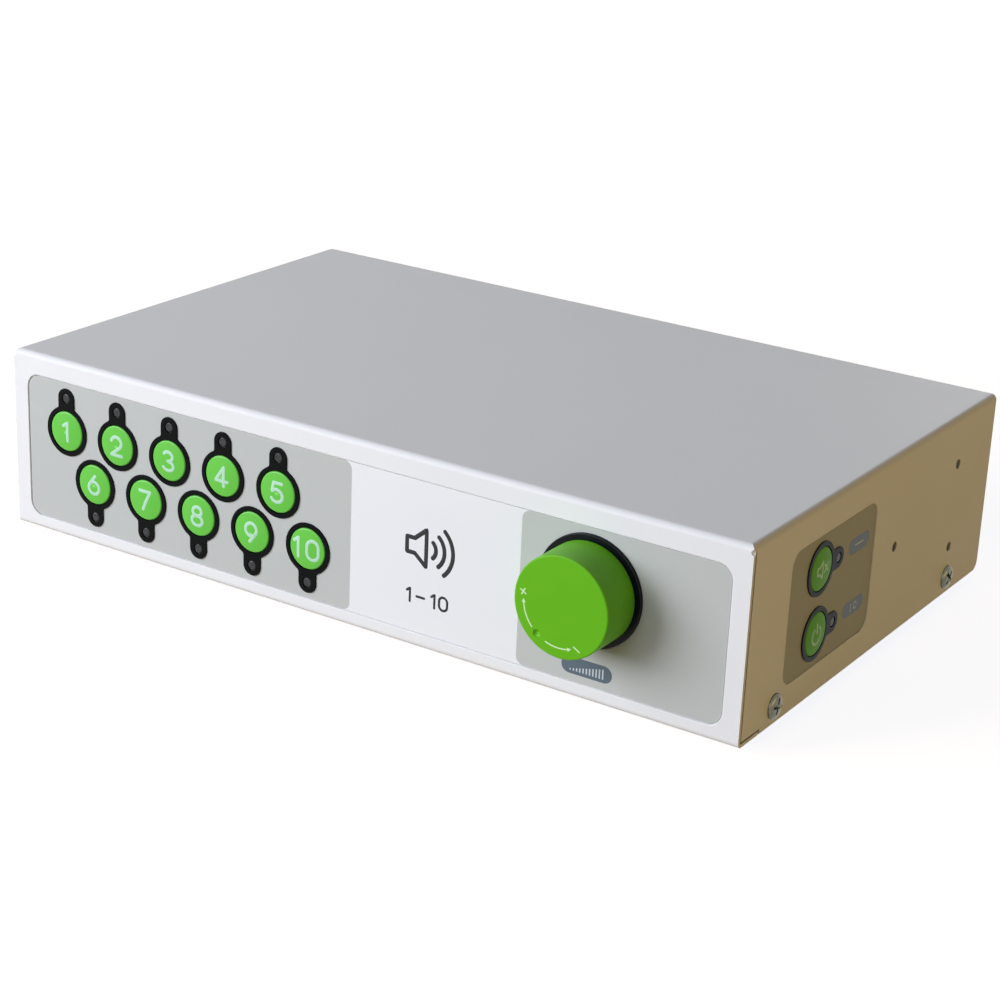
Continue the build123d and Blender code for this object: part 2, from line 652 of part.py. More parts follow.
with BuildPart() as key_bezels:
    for panel in panels:
        with BuildSketch(panel.plane(BEZEL_SEAT)):
            with Locations(*panel.bezel_places()):
                add(bezel_outline.sketch)
        extrude(amount=BEZEL)
        fillet(key_bezels.edges().group_by(panel.outward())[-1], BEZEL_EDGE)
        with BuildSketch(panel.plane(BEZEL_SEAT)):
            with Locations(*panel.keys):
                Circle(COLLAR_RADIUS)
        extrude(amount=-COLLAR_LENGTH)
        with BuildSketch(panel.plane(BEZEL_FACE)):
            with Locations(*panel.keys):
                Circle(CAP_RADIUS + CAP_PLAY)
        extrude(amount=-(BEZEL + COLLAR_LENGTH), mode=Mode.SUBTRACT)
        with BuildSketch(panel.plane(BEZEL_FACE)):
            with Locations(*panel.lights):
                Circle(PIPE_RADIUS + PIPE_FIT)
        extrude(amount=-BEZEL, mode=Mode.SUBTRACT)
save(key_bezels, "key_bezels")


def key_cap_section(axial):
    """Half section of a key cap: crowned face, skirt with a retaining flange, and the stem inside."""
    shoulder = -CAP_FACE - CAP_CROWN
    ceiling = shoulder - CAP_TOP
    with BuildSketch(axial) as section:
        with BuildLine():
            rim = CenterArc((CAP_RADIUS - CAP_EDGE, shoulder - CAP_EDGE), CAP_EDGE, 90, -90)
            TangentArc((0, -CAP_FACE), rim @ 0, tangent=(1, 0))
            Polyline(
                rim @ 1,
                (CAP_RADIUS, -FLANGE_FRONT),
                (CAP_RADIUS + CAP_FLANGE_RIM, -FLANGE_FRONT),
                (CAP_RADIUS + CAP_FLANGE_RIM, -FLANGE_BACK),
                (CAP_RADIUS - CAP_WALL, -FLANGE_BACK),
                (CAP_RADIUS - CAP_WALL, ceiling),
                (STEM_RADIUS, ceiling),
                (STEM_RADIUS, -PLUNGER_TOP),
                (0, -PLUNGER_TOP),
                (0, -CAP_FACE),
            )
        make_face()
    return section.sketch


all_keys = [(panel, key) for panel in panels for key in panel.keys]
for number, (panel, key) in enumerate(all_keys, start=1):
    axial = panel.axial_plane(key)
    with BuildPart() as key_cap:
        revolve(key_cap_section(axial), axis=Axis(axial.origin, axial.y_dir))
    save(key_cap, f"key_cap_{number}")
    with BuildPart() as switch_plunger:
        with BuildSketch(panel.plane(PLUNGER_TOP)):
            with Locations(key):
                Circle(PLUNGER_RADIUS)
        extrude(amount=-PLUNGER_LENGTH)
    save(switch_plunger, f"switch_plunger_{number}")

with BuildPart() as light_pipes:
    for panel in panels:
        with BuildSketch(panel.plane(BEZEL_FACE + PIPE_SUNK)):
            with Locations(*panel.lights):
                Circle(PIPE_RADIUS)
        extrude(amount=-(BOARD_FACE - LAMP_HEIGHT - PIPE_LAMP_GAP - BEZEL_FACE - PIPE_SUNK))
        fillet(light_pipes.edges().group_by(panel.outward())[-1], PIPE_EDGE)
        with BuildSketch(panel.plane(PANEL_BACK)):
            with Locations(*panel.lights):
                Circle(PIPE_FLANGE_RADIUS)
        extrude(amount=-PIPE_FLANGE)
save(light_pipes, "light_pipes")

with BuildPart() as tact_switches:
    for panel in panels:
        with BuildSketch(panel.plane(SWITCH_FACE)):
            with Locations(*panel.keys):
                Rectangle(SWITCH_SIDE, SWITCH_SIDE)
        extrude(amount=-SWITCH_BODY)
        with BuildSketch(panel.plane(SWITCH_FACE)):
            with Locations(*panel.keys):
                Circle(PLUNGER_RADIUS + PLUNGER_PLAY)
        extrude(amount=-PLUNGER_WELL, mode=Mode.SUBTRACT)
save(tact_switches, "tact_switches")

with BuildPart() as indicator_lamps:
    for panel in panels:
        with BuildSketch(panel.plane(BOARD_FACE)):
            with Locations(*panel.lights):
                Rectangle(LAMP_LENGTH, LAMP_WIDTH)
        extrude(amount=LAMP_HEIGHT)
save(indicator_lamps, "indicator_lamps")

# ------------------------------------------------------------------ key boards and their studs


def key_board(panel):
    """Circuit board behind a row of keys, drilled for its studs."""
    with BuildPart() as board:
        with BuildSketch(panel.plane(BOARD_FACE)):
            with Locations(panel.board_centre):
                Rectangle(*panel.board_size)
            with Locations(*panel.studs):
                Circle(STUD_RADIUS + STUD_FIT, mode=Mode.SUBTRACT)
        extrude(amount=-BOARD)
    return board.part


with BuildPart() as front_key_board:
    add(key_board(front))
save(front_key_board, "front_key_board")

with BuildPart() as side_key_board:
    add(key_board(side))
save(side_key_board, "side_key_board")

with BuildPart() as panel_studs:
    for panel in panels:
        with BuildSketch(panel.plane(PANEL_BACK)):
            with Locations(*panel.studs):
                Circle(STUD_RADIUS)
        extrude(amount=-(STUD_END - PANEL_BACK))
save(panel_studs, "panel_studs")

with BuildPart() as board_spacers:
    for panel in panels:
        with BuildSketch(panel.plane(PANEL_BACK)):
            with Locations(*panel.studs):
                Circle(SPACER_RADIUS)
                Circle(STUD_RADIUS + STUD_FIT, mode=Mode.SUBTRACT)
        extrude(amount=-(BOARD_FACE - PANEL_BACK))
save(board_spacers, "board_spacers")

with BuildPart() as stud_nuts:
    for panel in panels:
        with BuildSketch(panel.plane(BOARD_BACK)):
            with Locations(*panel.studs):
                RegularPolygon(NUT_ACROSS_FLATS / 2, 6, major_radius=False)
                Circle(STUD_RADIUS + TAPPED_FIT, mode=Mode.SUBTRACT)
        extrude(amount=-NUT_HEIGHT)
save(stud_nuts, "stud_nuts")

# ------------------------------------------------------------------ volume control

RING_FACE = BEZEL_SEAT - RING_HEIGHT
KNOB_BACK = RING_FACE - RING_KNOB_GAP
KNOB_CEILING = -(KNOB_REACH - KNOB_TOP)
WASHER_FACE = RECESS_DEPTH - WASHER
BUSHING_TIP = PANEL_BACK - BUSHING_LENGTH
KNOB_COLLAR_END = BUSHING_TIP - KNOB_COLLAR_GAP
SHAFT_TIP = KNOB_CEILING + SHAFT_TIP_GAP
PLATE_BACK = PANEL_BACK + BUSHING_PLATE
ROTOR_FACE = PLATE_BACK + ROTOR_GAP
SHAFT_END = ROTOR_FACE + ROTOR + SHAFT_TAIL

with BuildPart() as knob_trim_ring:
    with BuildSketch(front_plane(BEZEL_SEAT)):
        with Locations(KNOB_AT):
            Circle(KNOB_RADIUS + RING_BORDER)
            Circle(RING_BORE, mode=Mode.SUBTRACT)
    extrude(amount=RING_HEIGHT)
    outer_rim = knob_trim_ring.edges().group_by(Axis.Y)[0].sort_by(SortBy.RADIUS)[-1]
    fillet(outer_rim, RING_EDGE)
save(knob_trim_ring, "knob_trim_ring")

with BuildPart() as control_bushing:
    # cast plate behind the panel, with the threaded bushing and the tab that stops it turning
    with BuildSketch(front_plane(PANEL_BACK)):
        with Locations(KNOB_AT):
            Circle(CONTROL_RADIUS)
    extrude(amount=-BUSHING_PLATE)
    with BuildSketch(front_plane(PANEL_BACK)):
        with Locations(KNOB_AT):
            Circle(BUSHING_RADIUS)
    extrude(amount=BUSHING_LENGTH)
    with BuildSketch(front_plane(PANEL_BACK)):
        with Locations(KNOB_AT):
            with Locations((-LOCATING_REACH, 0)):
                Rectangle(LOCATING_TAB_WIDTH, LOCATING_TAB_LENGTH)
    extrude(amount=SHEET)
    with BuildSketch(front_plane(BUSHING_TIP)):
        with Locations(KNOB_AT):
            Circle(SHAFT_RADIUS + SHAFT_FIT)
    extrude(amount=-(BUSHING_LENGTH + BUSHING_PLATE), mode=Mode.SUBTRACT)
save(control_bushing, "control_bushing")

with BuildPart() as control_housing:
    with BuildSketch(front_plane(PLATE_BACK)):
        with Locations(KNOB_AT):
            Circle(CONTROL_RADIUS)
    extrude(amount=-(CONTROL_DEPTH - BUSHING_PLATE))
    with BuildSketch(front_plane(PLATE_BACK)):
        with Locations(KNOB_AT):
            Circle(CONTROL_RADIUS - CONTROL_WALL)
    extrude(amount=-(CONTROL_DEPTH - BUSHING_PLATE - CONTROL_WALL), mode=Mode.SUBTRACT)
save(control_housing, "control_housing")

with BuildPart() as bushing_washer:
    with BuildSketch(front_plane(RECESS_DEPTH)):
        with Locations(KNOB_AT):
            Circle(WASHER_RADIUS)
            Circle(BUSHING_RADIUS + BUSHING_FIT, mode=Mode.SUBTRACT)
    extrude(amount=WASHER)
save(bushing_washer, "bushing_washer")

with BuildPart() as bushing_nut:
    with BuildSketch(front_plane(WASHER_FACE)):
        with Locations(KNOB_AT):
            RegularPolygon(BUSHING_NUT_ACROSS_FLATS / 2, 6, major_radius=False)
            Circle(BUSHING_RADIUS + TAPPED_FIT, mode=Mode.SUBTRACT)
    extrude(amount=BUSHING_NUT)
save(bushing_nut, "bushing_nut")

with BuildPart() as control_board:
    with BuildSketch(front_plane(CONTROL_BOARD_FACE)):
        with Locations(KNOB_AT):
            RectangleRounded(CONTROL_BOARD_SIDE, CONTROL_BOARD_SIDE, CONTROL_BOARD_CORNER)
    extrude(amount=-BOARD)
save(control_board, "control_board")

with BuildPart() as control_shaft:
    with BuildSketch(front_plane(SHAFT_END)):
        with Locations(KNOB_AT):
            Circle(SHAFT_RADIUS)
    extrude(amount=SHAFT_END - SHAFT_TIP)
    with BuildSketch(front_plane(SHAFT_TIP)):
        with Locations(KNOB_AT):
            with Locations((0, SHAFT_FLAT)):
                Rectangle(2 * SHAFT_RADIUS, SHAFT_RADIUS, align=(Align.CENTER, Align.MIN))
    extrude(amount=-(KNOB_COLLAR_END - SHAFT_TIP), mode=Mode.SUBTRACT)
    with BuildSketch(front_plane(ROTOR_FACE)):
        with Locations(KNOB_AT):
            Circle(ROTOR_RADIUS)
    extrude(amount=-ROTOR)
save(control_shaft, "control_shaft")

with BuildPart() as volume_knob:
    with BuildSketch(front_plane(KNOB_BACK)):
        with Locations(KNOB_AT):
            Circle(KNOB_RADIUS)
    extrude(amount=KNOB_BACK + KNOB_REACH)
    fillet(volume_knob.edges().group_by(Axis.Y)[0], KNOB_EDGE)
    # the underside is hollow, with a split collar on radial ribs
    with BuildSketch(front_plane(KNOB_BACK)):
        with Locations(KNOB_AT):
            Circle(KNOB_RADIUS - KNOB_WALL)
    extrude(amount=KNOB_BACK - KNOB_CEILING, mode=Mode.SUBTRACT)
    with BuildSketch(front_plane(KNOB_CEILING)):
        with Locations(KNOB_AT):
            with PolarLocations(0, KNOB_RIBS):
                Rectangle(KNOB_RADIUS - KNOB_WALL / 2, KNOB_RIB, align=(Align.MIN, Align.CENTER))
    extrude(amount=-KNOB_RIB_HEIGHT)
    with BuildSketch(front_plane(KNOB_CEILING)):
        with Locations(KNOB_AT):
            Circle(KNOB_COLLAR_RADIUS)
    extrude(amount=-(KNOB_COLLAR_END - KNOB_CEILING))
    # bore with a flat for the shaft, and the slit that lets the collar grip it
    with BuildSketch(front_plane(KNOB_CEILING)):
        with Locations(KNOB_AT):
            Circle(SHAFT_RADIUS + SHAFT_FIT)
            with Locations((0, SHAFT_FLAT + SHAFT_FIT)):
                Rectangle(
                    2 * KNOB_COLLAR_RADIUS,
                    SHAFT_RADIUS,
                    align=(Align.CENTER, Align.MIN),
                    mode=Mode.SUBTRACT,
                )
    extrude(amount=-(KNOB_COLLAR_END - KNOB_CEILING), mode=Mode.SUBTRACT)
    with BuildSketch(front_plane(KNOB_COLLAR_END)):
        with Locations(KNOB_AT):
            Rectangle(2 * KNOB_COLLAR_RADIUS, KNOB_SLIT)
    extrude(amount=KNOB_SLIT_LENGTH, mode=Mode.SUBTRACT)
    # finger dimple near the edge of the face
    with Locations(front_plane(-KNOB_REACH)):
        with Locations(KNOB_AT):
            with PolarLocations(DIMPLE_REACH, 1, start_angle=90 - DIMPLE_ANGLE):
                with Locations((0, 0, DIMPLE_RADIUS - DIMPLE_DEPTH)):
                    Sphere(DIMPLE_RADIUS, mode=Mode.SUBTRACT)
save(volume_knob, "volume_knob")

with BuildPart() as knob_clip:
    with BuildSketch(front_plane(KNOB_COLLAR_END - CLIP_SETBACK)):
        with Locations(KNOB_AT):
            Circle(KNOB_COLLAR_RADIUS + CLIP_FIT + CLIP_THICKNESS)
            Circle(KNOB_COLLAR_RADIUS + CLIP_FIT, mode=Mode.SUBTRACT)
            Rectangle(
                CLIP_GAP,
                2 * KNOB_COLLAR_RADIUS,
                align=(Align.CENTER, Align.MAX),
                mode=Mode.SUBTRACT,
            )
    extrude(amount=CLIP_WIDTH)
save(knob_clip, "knob_clip")

# ------------------------------------------------------------------ switching board

with BuildPart() as main_board:
    with BuildSketch(level_plane(MAIN_BOARD_BOTTOM)):
        with Locations((0, MAIN_BOARD_FRONT_Y)):
            Rectangle(
                2 * MAIN_BOARD_HALF,
                MAIN_BOARD_REAR_Y - MAIN_BOARD_FRONT_Y,
                align=(Align.CENTER, Align.MIN),
            )
        with Locations(*standoff_points):
            Circle(BOARD_SCREW_RADIUS + STUD_FIT, mode=Mode.SUBTRACT)
    extrude(amount=BOARD)
save(main_board, "main_board")

with BuildPart() as board_standoffs:
    with BuildSketch(level_plane(CHASSIS_TOP)):
        with Locations(*standoff_points):
            Circle(STANDOFF_RADIUS)
            Circle(BOARD_SCREW_RADIUS + TAPPED_FIT, mode=Mode.SUBTRACT)
    extrude(amount=STANDOFF_HEIGHT)
save(board_standoffs, "board_standoffs")

with BuildPart() as board_screws:
    with BuildSketch(level_plane(MAIN_BOARD_TOP)):
        with Locations(*standoff_points):
            Circle(BOARD_SCREW_HEAD)
    extrude(amount=BOARD_SCREW_HEAD_HEIGHT)
    with BuildSketch(level_plane(MAIN_BOARD_TOP)):
        with Locations(*standoff_points):
            Circle(BOARD_SCREW_RADIUS)
    extrude(amount=-BOARD_SCREW_LENGTH)
save(board_screws, "board_screws")

with BuildPart() as audio_sockets:
    # a box on the board with a threaded nose through the rear wall, bored for the plug
    with BuildSketch(front_plane(CASE_DEPTH - SHEET)):
        with Locations(*socket_points):
            Rectangle(SOCKET_WIDTH, SOCKET_HEIGHT)
    extrude(amount=SOCKET_BODY)
    with BuildSketch(front_plane(CASE_DEPTH - SHEET)):
        with Locations(*socket_points):
            Circle(SOCKET_NOSE_RADIUS)
    extrude(amount=-(SHEET + SOCKET_REACH))
    with BuildSketch(front_plane(CASE_DEPTH + SOCKET_REACH)):
        with Locations(*socket_points):
            Circle(SOCKET_BORE_RADIUS)
    extrude(amount=SOCKET_BORE_DEPTH, mode=Mode.SUBTRACT)
save(audio_sockets, "audio_sockets")

with BuildPart() as supply_inlet:
    with BuildSketch(front_plane(CASE_DEPTH - SHEET)):
        with Locations((inlet_x, SOCKET_Z)):
            Rectangle(INLET_WIDTH, SOCKET_HEIGHT)
    extrude(amount=SOCKET_BODY)
    with BuildSketch(front_plane(CASE_DEPTH - SHEET)):
        with Locations((inlet_x, SOCKET_Z)):
            Circle(INLET_NOSE_RADIUS)
    extrude(amount=-(SHEET + SOCKET_REACH))
    # the plug goes round a centre pin that stands a little short of the mouth
    with BuildSketch(front_plane(CASE_DEPTH + SOCKET_REACH)):
        with Locations((inlet_x, SOCKET_Z)):
            Circle(INLET_BORE_RADIUS)
    extrude(amount=INLET_BORE_DEPTH, mode=Mode.SUBTRACT)
    with BuildSketch(front_plane(CASE_DEPTH + SOCKET_REACH - INLET_BORE_DEPTH)):
        with Locations((inlet_x, SOCKET_Z)):
            Circle(INLET_PIN_RADIUS)
    extrude(amount=-(INLET_BORE_DEPTH - INLET_PIN_SHORT))
save(supply_inlet, "supply_inlet")

with BuildPart() as socket_nuts:
    with BuildSketch(front_plane(CASE_DEPTH)):
        with Locations(*socket_points):
            Circle(SOCKET_NUT_RADIUS)
            Circle(SOCKET_NOSE_RADIUS + SOCKET_NUT_FIT, mode=Mode.SUBTRACT)
        with Locations((inlet_x, SOCKET_Z)):
            Circle(INLET_NUT_RADIUS)
            Circle(INLET_NOSE_RADIUS + SOCKET_NUT_FIT, mode=Mode.SUBTRACT)
    extrude(amount=-SOCKET_NUT)
save(socket_nuts, "socket_nuts")

with BuildPart() as selector_relays:
    with BuildSketch(level_plane(MAIN_BOARD_TOP)):
        with Locations(*[(x, RELAY_FRONT_Y + RELAY_DEPTH / 2) for x in output_xs]):
            Rectangle(RELAY_WIDTH, RELAY_DEPTH)
    extrude(amount=RELAY_HEIGHT)
    fillet(selector_relays.edges().filter_by(Axis.Z), RELAY_CORNER)
save(selector_relays, "selector_relays")

capacitor_xs = [inlet_x + i * CAPACITOR_PITCH for i in range(CAPACITORS)]
with BuildPart() as filter_capacitors:
    with BuildSketch(level_plane(MAIN_BOARD_TOP)):
        with Locations(*[(x, REAR_Y - CAPACITOR_REAR) for x in capacitor_xs]):
            Circle(CAPACITOR_RADIUS)
    extrude(amount=CAPACITOR_HEIGHT)
    fillet(filter_capacitors.edges().group_by(Axis.Z)[-1], CAPACITOR_TOP_EDGE)
save(filter_capacitors, "filter_capacitors")

chip_xs = (-CHIP_PITCH / 2, CHIP_PITCH / 2)
with BuildPart() as control_chips:
    for x, length in zip(chip_xs, CHIP_LENGTHS):
        with BuildSketch(level_plane(MAIN_BOARD_TOP)):
            with Locations((x, FRONT_Y + CHIP_SETBACK)):
                Rectangle(length, CHIP_WIDTH)
        extrude(amount=CHIP_HEIGHT)
save(control_chips, "control_chips")

# ------------------------------------------------------------------ headers and ribbon cables

key_header_at = (KEY_HEADER_X, FIELD_Z)
side_header_at = (HEADER_SETBACK, SIDE_HEADER_Z)

with BuildPart() as cable_headers:
    with BuildSketch(level_plane(MAIN_BOARD_TOP)):
        with Locations((KEY_HEADER_X, HEADER_Y), (KNOB_AT[0], HEADER_Y)):
            Rectangle(HEADER_WIDTH, HEADER_DEPTH)
        with Locations((SIDE_HEADER_X, HEADER_Y)):
            Rectangle(HEADER_DEPTH, HEADER_WIDTH)
    extrude(amount=HEADER_HEIGHT)
    with BuildSketch(front_plane(BOARD_BACK)):
        with Locations(key_header_at):
            Rectangle(HEADER_WIDTH, HEADER_DEPTH)
    extrude(amount=-HEADER_HEIGHT)
    with BuildSketch(front_plane(CONTROL_BOARD_BACK)):
        with Locations(KNOB_AT):
            Rectangle(HEADER_WIDTH, HEADER_DEPTH)
    extrude(amount=-HEADER_HEIGHT)
    with BuildSketch(flank_plane(BOARD_BACK)):
        with Locations(side_header_at):
            Rectangle(HEADER_WIDTH, HEADER_DEPTH)
    extrude(amount=-HEADER_HEIGHT)
save(cable_headers, "cable_headers")

# Each cable leaves its key board straight back, then bends down to the switching board
HEADER_TOP = MAIN_BOARD_TOP + HEADER_HEIGHT


def ribbon(plane, start, turn, bend):
    """Flat cable in a plane: level from start to the turn, then down to the header below it."""
    with BuildPart() as cable:
        with BuildSketch(plane):
            with BuildLine():
                FilletPolyline(start, (turn, start[1]), (turn, HEADER_TOP), radius=bend)
            trace(line_width=RIBBON)
        extrude(amount=RIBBON_WIDTH / 2, both=True)
    return cable.part


def lengthwise_plane(x):
    """Upright plane at x: local x is the distance from the front, local y the height above the case."""
    return Plane(origin=(x, FRONT_Y, CASE_BOTTOM), x_dir=(0, 1, 0), z_dir=(1, 0, 0))


with BuildPart() as ribbon_cables:
    add(
        ribbon(
            lengthwise_plane(KEY_HEADER_X),
            (BOARD_BACK + HEADER_HEIGHT, FIELD_Z),
            HEADER_SETBACK,
            RIBBON_BEND,
        )
    )
    add(
        ribbon(
            lengthwise_plane(KNOB_AT[0]),
            (CONTROL_BOARD_BACK + HEADER_HEIGHT, KNOB_AT[1]),
            HEADER_SETBACK,
            RIBBON_BEND,
        )
    )
    add(
        ribbon(
            front_plane(HEADER_SETBACK),
            (HALF_WIDTH - BOARD_BACK - HEADER_HEIGHT, SIDE_HEADER_Z),
            SIDE_HEADER_X,
            SIDE_RIBBON_BEND,
        )
    )
save(ribbon_cables, "ribbon_cables")
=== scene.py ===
# %% [markdown]
# # Ten-way speaker selector switch
#
# A folded steel box with ten numbered keys and a volume knob on its front, a mute key and a power
# key on its right side, and a row of jack sockets behind. The solids of the part come in as a fixed
# frame. This lesson dresses them: finishes for every piece, printed legends, screws and nuts with
# real drives and knurls, and then a small studio to look at the result in.

import math

import bmesh
import bpy
from mathutils import Matrix, Vector


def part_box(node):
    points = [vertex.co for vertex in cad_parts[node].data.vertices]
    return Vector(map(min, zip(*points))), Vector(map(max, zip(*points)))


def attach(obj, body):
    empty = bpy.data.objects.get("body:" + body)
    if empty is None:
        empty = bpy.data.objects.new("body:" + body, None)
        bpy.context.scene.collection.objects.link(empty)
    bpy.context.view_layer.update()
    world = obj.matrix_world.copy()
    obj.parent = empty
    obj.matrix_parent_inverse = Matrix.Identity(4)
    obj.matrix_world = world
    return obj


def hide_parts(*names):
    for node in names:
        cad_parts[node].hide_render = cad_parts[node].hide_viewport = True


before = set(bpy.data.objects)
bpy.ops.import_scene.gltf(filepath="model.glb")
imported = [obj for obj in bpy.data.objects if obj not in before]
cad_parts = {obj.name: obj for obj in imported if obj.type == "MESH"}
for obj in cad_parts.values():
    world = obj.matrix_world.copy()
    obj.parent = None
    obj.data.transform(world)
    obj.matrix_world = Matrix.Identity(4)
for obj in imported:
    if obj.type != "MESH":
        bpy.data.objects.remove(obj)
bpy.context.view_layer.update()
MM = 0.001

# %% [markdown]
# ## Shader and geometry maths as plain arithmetic
#
# Patterns such as a printed field or a knurl are short formulas. They could be wired by hand from
# dozens of Math nodes. Here a small class wraps one socket, so that a formula written in Python adds
# those nodes by itself, and a second class adds any other kind of node.


# %% A socket that understands arithmetic
def maths(operation, turned=False):
    """A method that adds one Math node; turned, it puts the wire after the other value."""

    def method(wire, *other):
        values = (*other, wire) if turned else (wire, *other)
        return wire.nodes.node("ShaderNodeMath", {"operation": operation}, dict(enumerate(values)))

    return method


class Wire:
    """The output of one node, ready to be used in a formula."""

    __add__, __radd__ = maths("ADD"), maths("ADD", turned=True)
    __sub__, __rsub__ = maths("SUBTRACT"), maths("SUBTRACT", turned=True)
    __mul__, __rmul__ = maths("MULTIPLY"), maths("MULTIPLY", turned=True)
    __truediv__, __pow__, __abs__ = maths("DIVIDE"), maths("POWER"), maths("ABSOLUTE")
    sine, cosine = maths("SINE"), maths("COSINE")
    at_least, at_most = maths("MAXIMUM"), maths("MINIMUM")

    def __init__(self, nodes, socket):
        self.nodes = nodes
        self.socket = socket

    def clamped(self):
        """The value held between 0 and 1."""
        settings = {"operation": "ADD", "use_clamp": True}
        return self.nodes.node("ShaderNodeMath", settings, {0: self, 1: 0.0})

    def outputs(self, *names):
        """Wires for the named outputs of the node that this wire comes from."""
        return [Wire(self.nodes, self.socket.node.outputs[name]) for name in names]


print("helpers: maths, Wire")


# %% Trees, node by node
class Nodes:
    """A node tree that grows by one call for each node."""

    def __init__(self, tree):
        self.tree = tree

    def node(self, kind, settings=None, sockets=None, output=0):
        made = self.tree.nodes.new(kind)
        for name, value in (settings or {}).items():
            setattr(made, name, value)
        for name, value in (sockets or {}).items():
            self.feed(made.inputs[name], value)
        return Wire(self, made.outputs[output])

    def feed(self, socket, value):
        for part in value if isinstance(value, list) else [value]:
            if isinstance(part, Wire):
                self.tree.links.new(part.socket, socket)
            else:
                socket.default_value = part

    def mix(self, share, low, high):
        """Colour between low and high."""
        low, high = (c if isinstance(c, Wire) else (*c, 1.0) for c in (low, high))
        settings = {"data_type": "RGBA"}
        return self.node("ShaderNodeMix", settings, {0: share, 6: low, 7: high}, output=2)


print("helper: Nodes")

# %% [markdown]
# ## What every finish starts from
#
# Each finish is a principled shader whose colour, roughness and bump come from patterns in the
# object's own coordinates. Image textures would need flat unwrapped faces and a fixed resolution;
# patterns by formula stay sharp at any distance, and they sit still when a key or the knob moves.


# %% A finish around one principled shader
class Finish(Nodes):
    """A material whose patterns read the object's own coordinates, in metres."""

    def __init__(self, name):
        self.material = bpy.data.materials.new(name)
        self.material.use_nodes = True
        super().__init__(self.material.node_tree)
        self.shader = self.tree.nodes["Principled BSDF"]
        self.place = self.node("ShaderNodeTexCoord", output="Object")

    def xyz(self):
        """Wires for x, y and z."""
        return self.node("ShaderNodeSeparateXYZ", sockets={"Vector": self.place}).outputs(*"XYZ")

    def noise(self, size, detail=2.0, roughness=0.5):
        """Cloudy pattern from 0 to 1, whose clouds are about this many millimetres across."""
        sockets = {"Vector": self.place, "Scale": 1 / (size * MM), "Detail": detail, "Roughness": roughness}
        return self.node("ShaderNodeTexNoise", sockets=sockets)

    def bump(self, height, depth, strength=1.0):
        """Normal of a surface that rises by depth millimetres where height goes from 0 to 1."""
        sockets = {"Strength": strength, "Distance": depth * MM, "Height": height}
        return self.node("ShaderNodeBump", sockets=sockets)

    def set(self, **sockets):
        """Feeds the shader's sockets, named with underscores for spaces, and returns the material."""
        for name, value in sockets.items():
            socket = self.shader.inputs[name.replace("_", " ").title().replace("Ior", "IOR")]
            if isinstance(value, tuple):
                value = (*value, 1.0)
            self.feed(socket, value)
        return self.material


def shaded(colour, share):
    """The colour darkened to this share of itself."""
    return tuple(c * share for c in colour)


def rounded_box(x, y, middle, size, corner):
    """Distance in metres from the edge of a rounded rectangle, below zero inside it."""
    away_x = abs(x - middle[0]) - (size[0] / 2 - corner)
    away_y = abs(y - middle[1]) - (size[1] / 2 - corner)
    outside = (away_x.at_least(0.0) ** 2 + away_y.at_least(0.0) ** 2) ** 0.5
    inside = away_x.at_least(away_y).at_most(0.0)
    return outside + inside - corner


print("helpers: Finish, shaded, rounded_box")

# %% [markdown]
# ## Powder-coated steel
#
# The cover and the chassis are sprayed with charged powder and baked. The coat is white, satin, and
# has the fine dimpled skin called orange peel, about a millimetre from crest to crest. A flat white
# would look like paper, so the bump carries the skin, slow clouds vary the gloss and the tone, and
# sparse specks stand for coarser grains of powder. Sizes and depths are in millimetres.


# %% Powder coat for the cover and the chassis
PEEL_SIZE, HAZE_SIZE, SPECK_SIZE = 1.1, 38.0, 0.35
PEEL_DEPTH = 0.012
SPECK_START, SPECK_GAIN = 0.60, 1.2


def powder_coat(name, tone):
    finish = Finish(name)
    peel = finish.noise(PEEL_SIZE, detail=3.0)
    haze = finish.noise(HAZE_SIZE, detail=3.0)
    specks = (finish.noise(SPECK_SIZE, detail=1.0) - SPECK_START) * SPECK_GAIN
    shade = finish.mix(haze, shaded(tone, 0.975), tone)
    return finish.set(
        base_color=finish.mix(specks, shade, shaded(tone, 0.90)),
        roughness=0.40 + 0.10 * haze,
        specular_ior_level=0.12,
        normal=finish.bump(peel, PEEL_DEPTH, 0.55),
    )


cover_white = powder_coat("powder_coat_white", (0.800, 0.800, 0.806))
chassis_white = powder_coat("powder_coat_chassis", (0.780, 0.782, 0.790))
print("coats:", cover_white.name, chassis_white.name)

# %% [markdown]
# ## Printed films
#
# A thin polyester film lies in each pressed recess. The front film is printed white with two grey
# fields, one behind the ten keys and one behind the knob, and the side film is a duller grey all
# over. The fields could be separate thin plates, but ink has no thickness, so a rounded-rectangle
# formula in the material decides where the grey ink lies. The boxes run on past the film's outer
# ends, so that only the two inner ends of the ink are rounded by it. Under the ink lies a faint
# pebbled skin.

# %% Inks of the two films
FIELD_GREY = (0.505, 0.522, 0.502)
SIDE_GREY = (0.410, 0.412, 0.350)
FILM_WHITE = (0.800, 0.805, 0.820)
FIELD_CORNER = 2.5 * MM
FIELD_OVERRUN = 10.0 * MM
LEFT_FIELD_END = 1.3 * MM
RIGHT_FIELD_START = 57.0 * MM
INK_EDGE = 0.12 * MM
PEBBLE_SIZE, PEBBLE_DEPTH, INK_CLOUD_SIZE = 0.45, 0.008, 30.0
film_low, film_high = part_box("front_overlay")


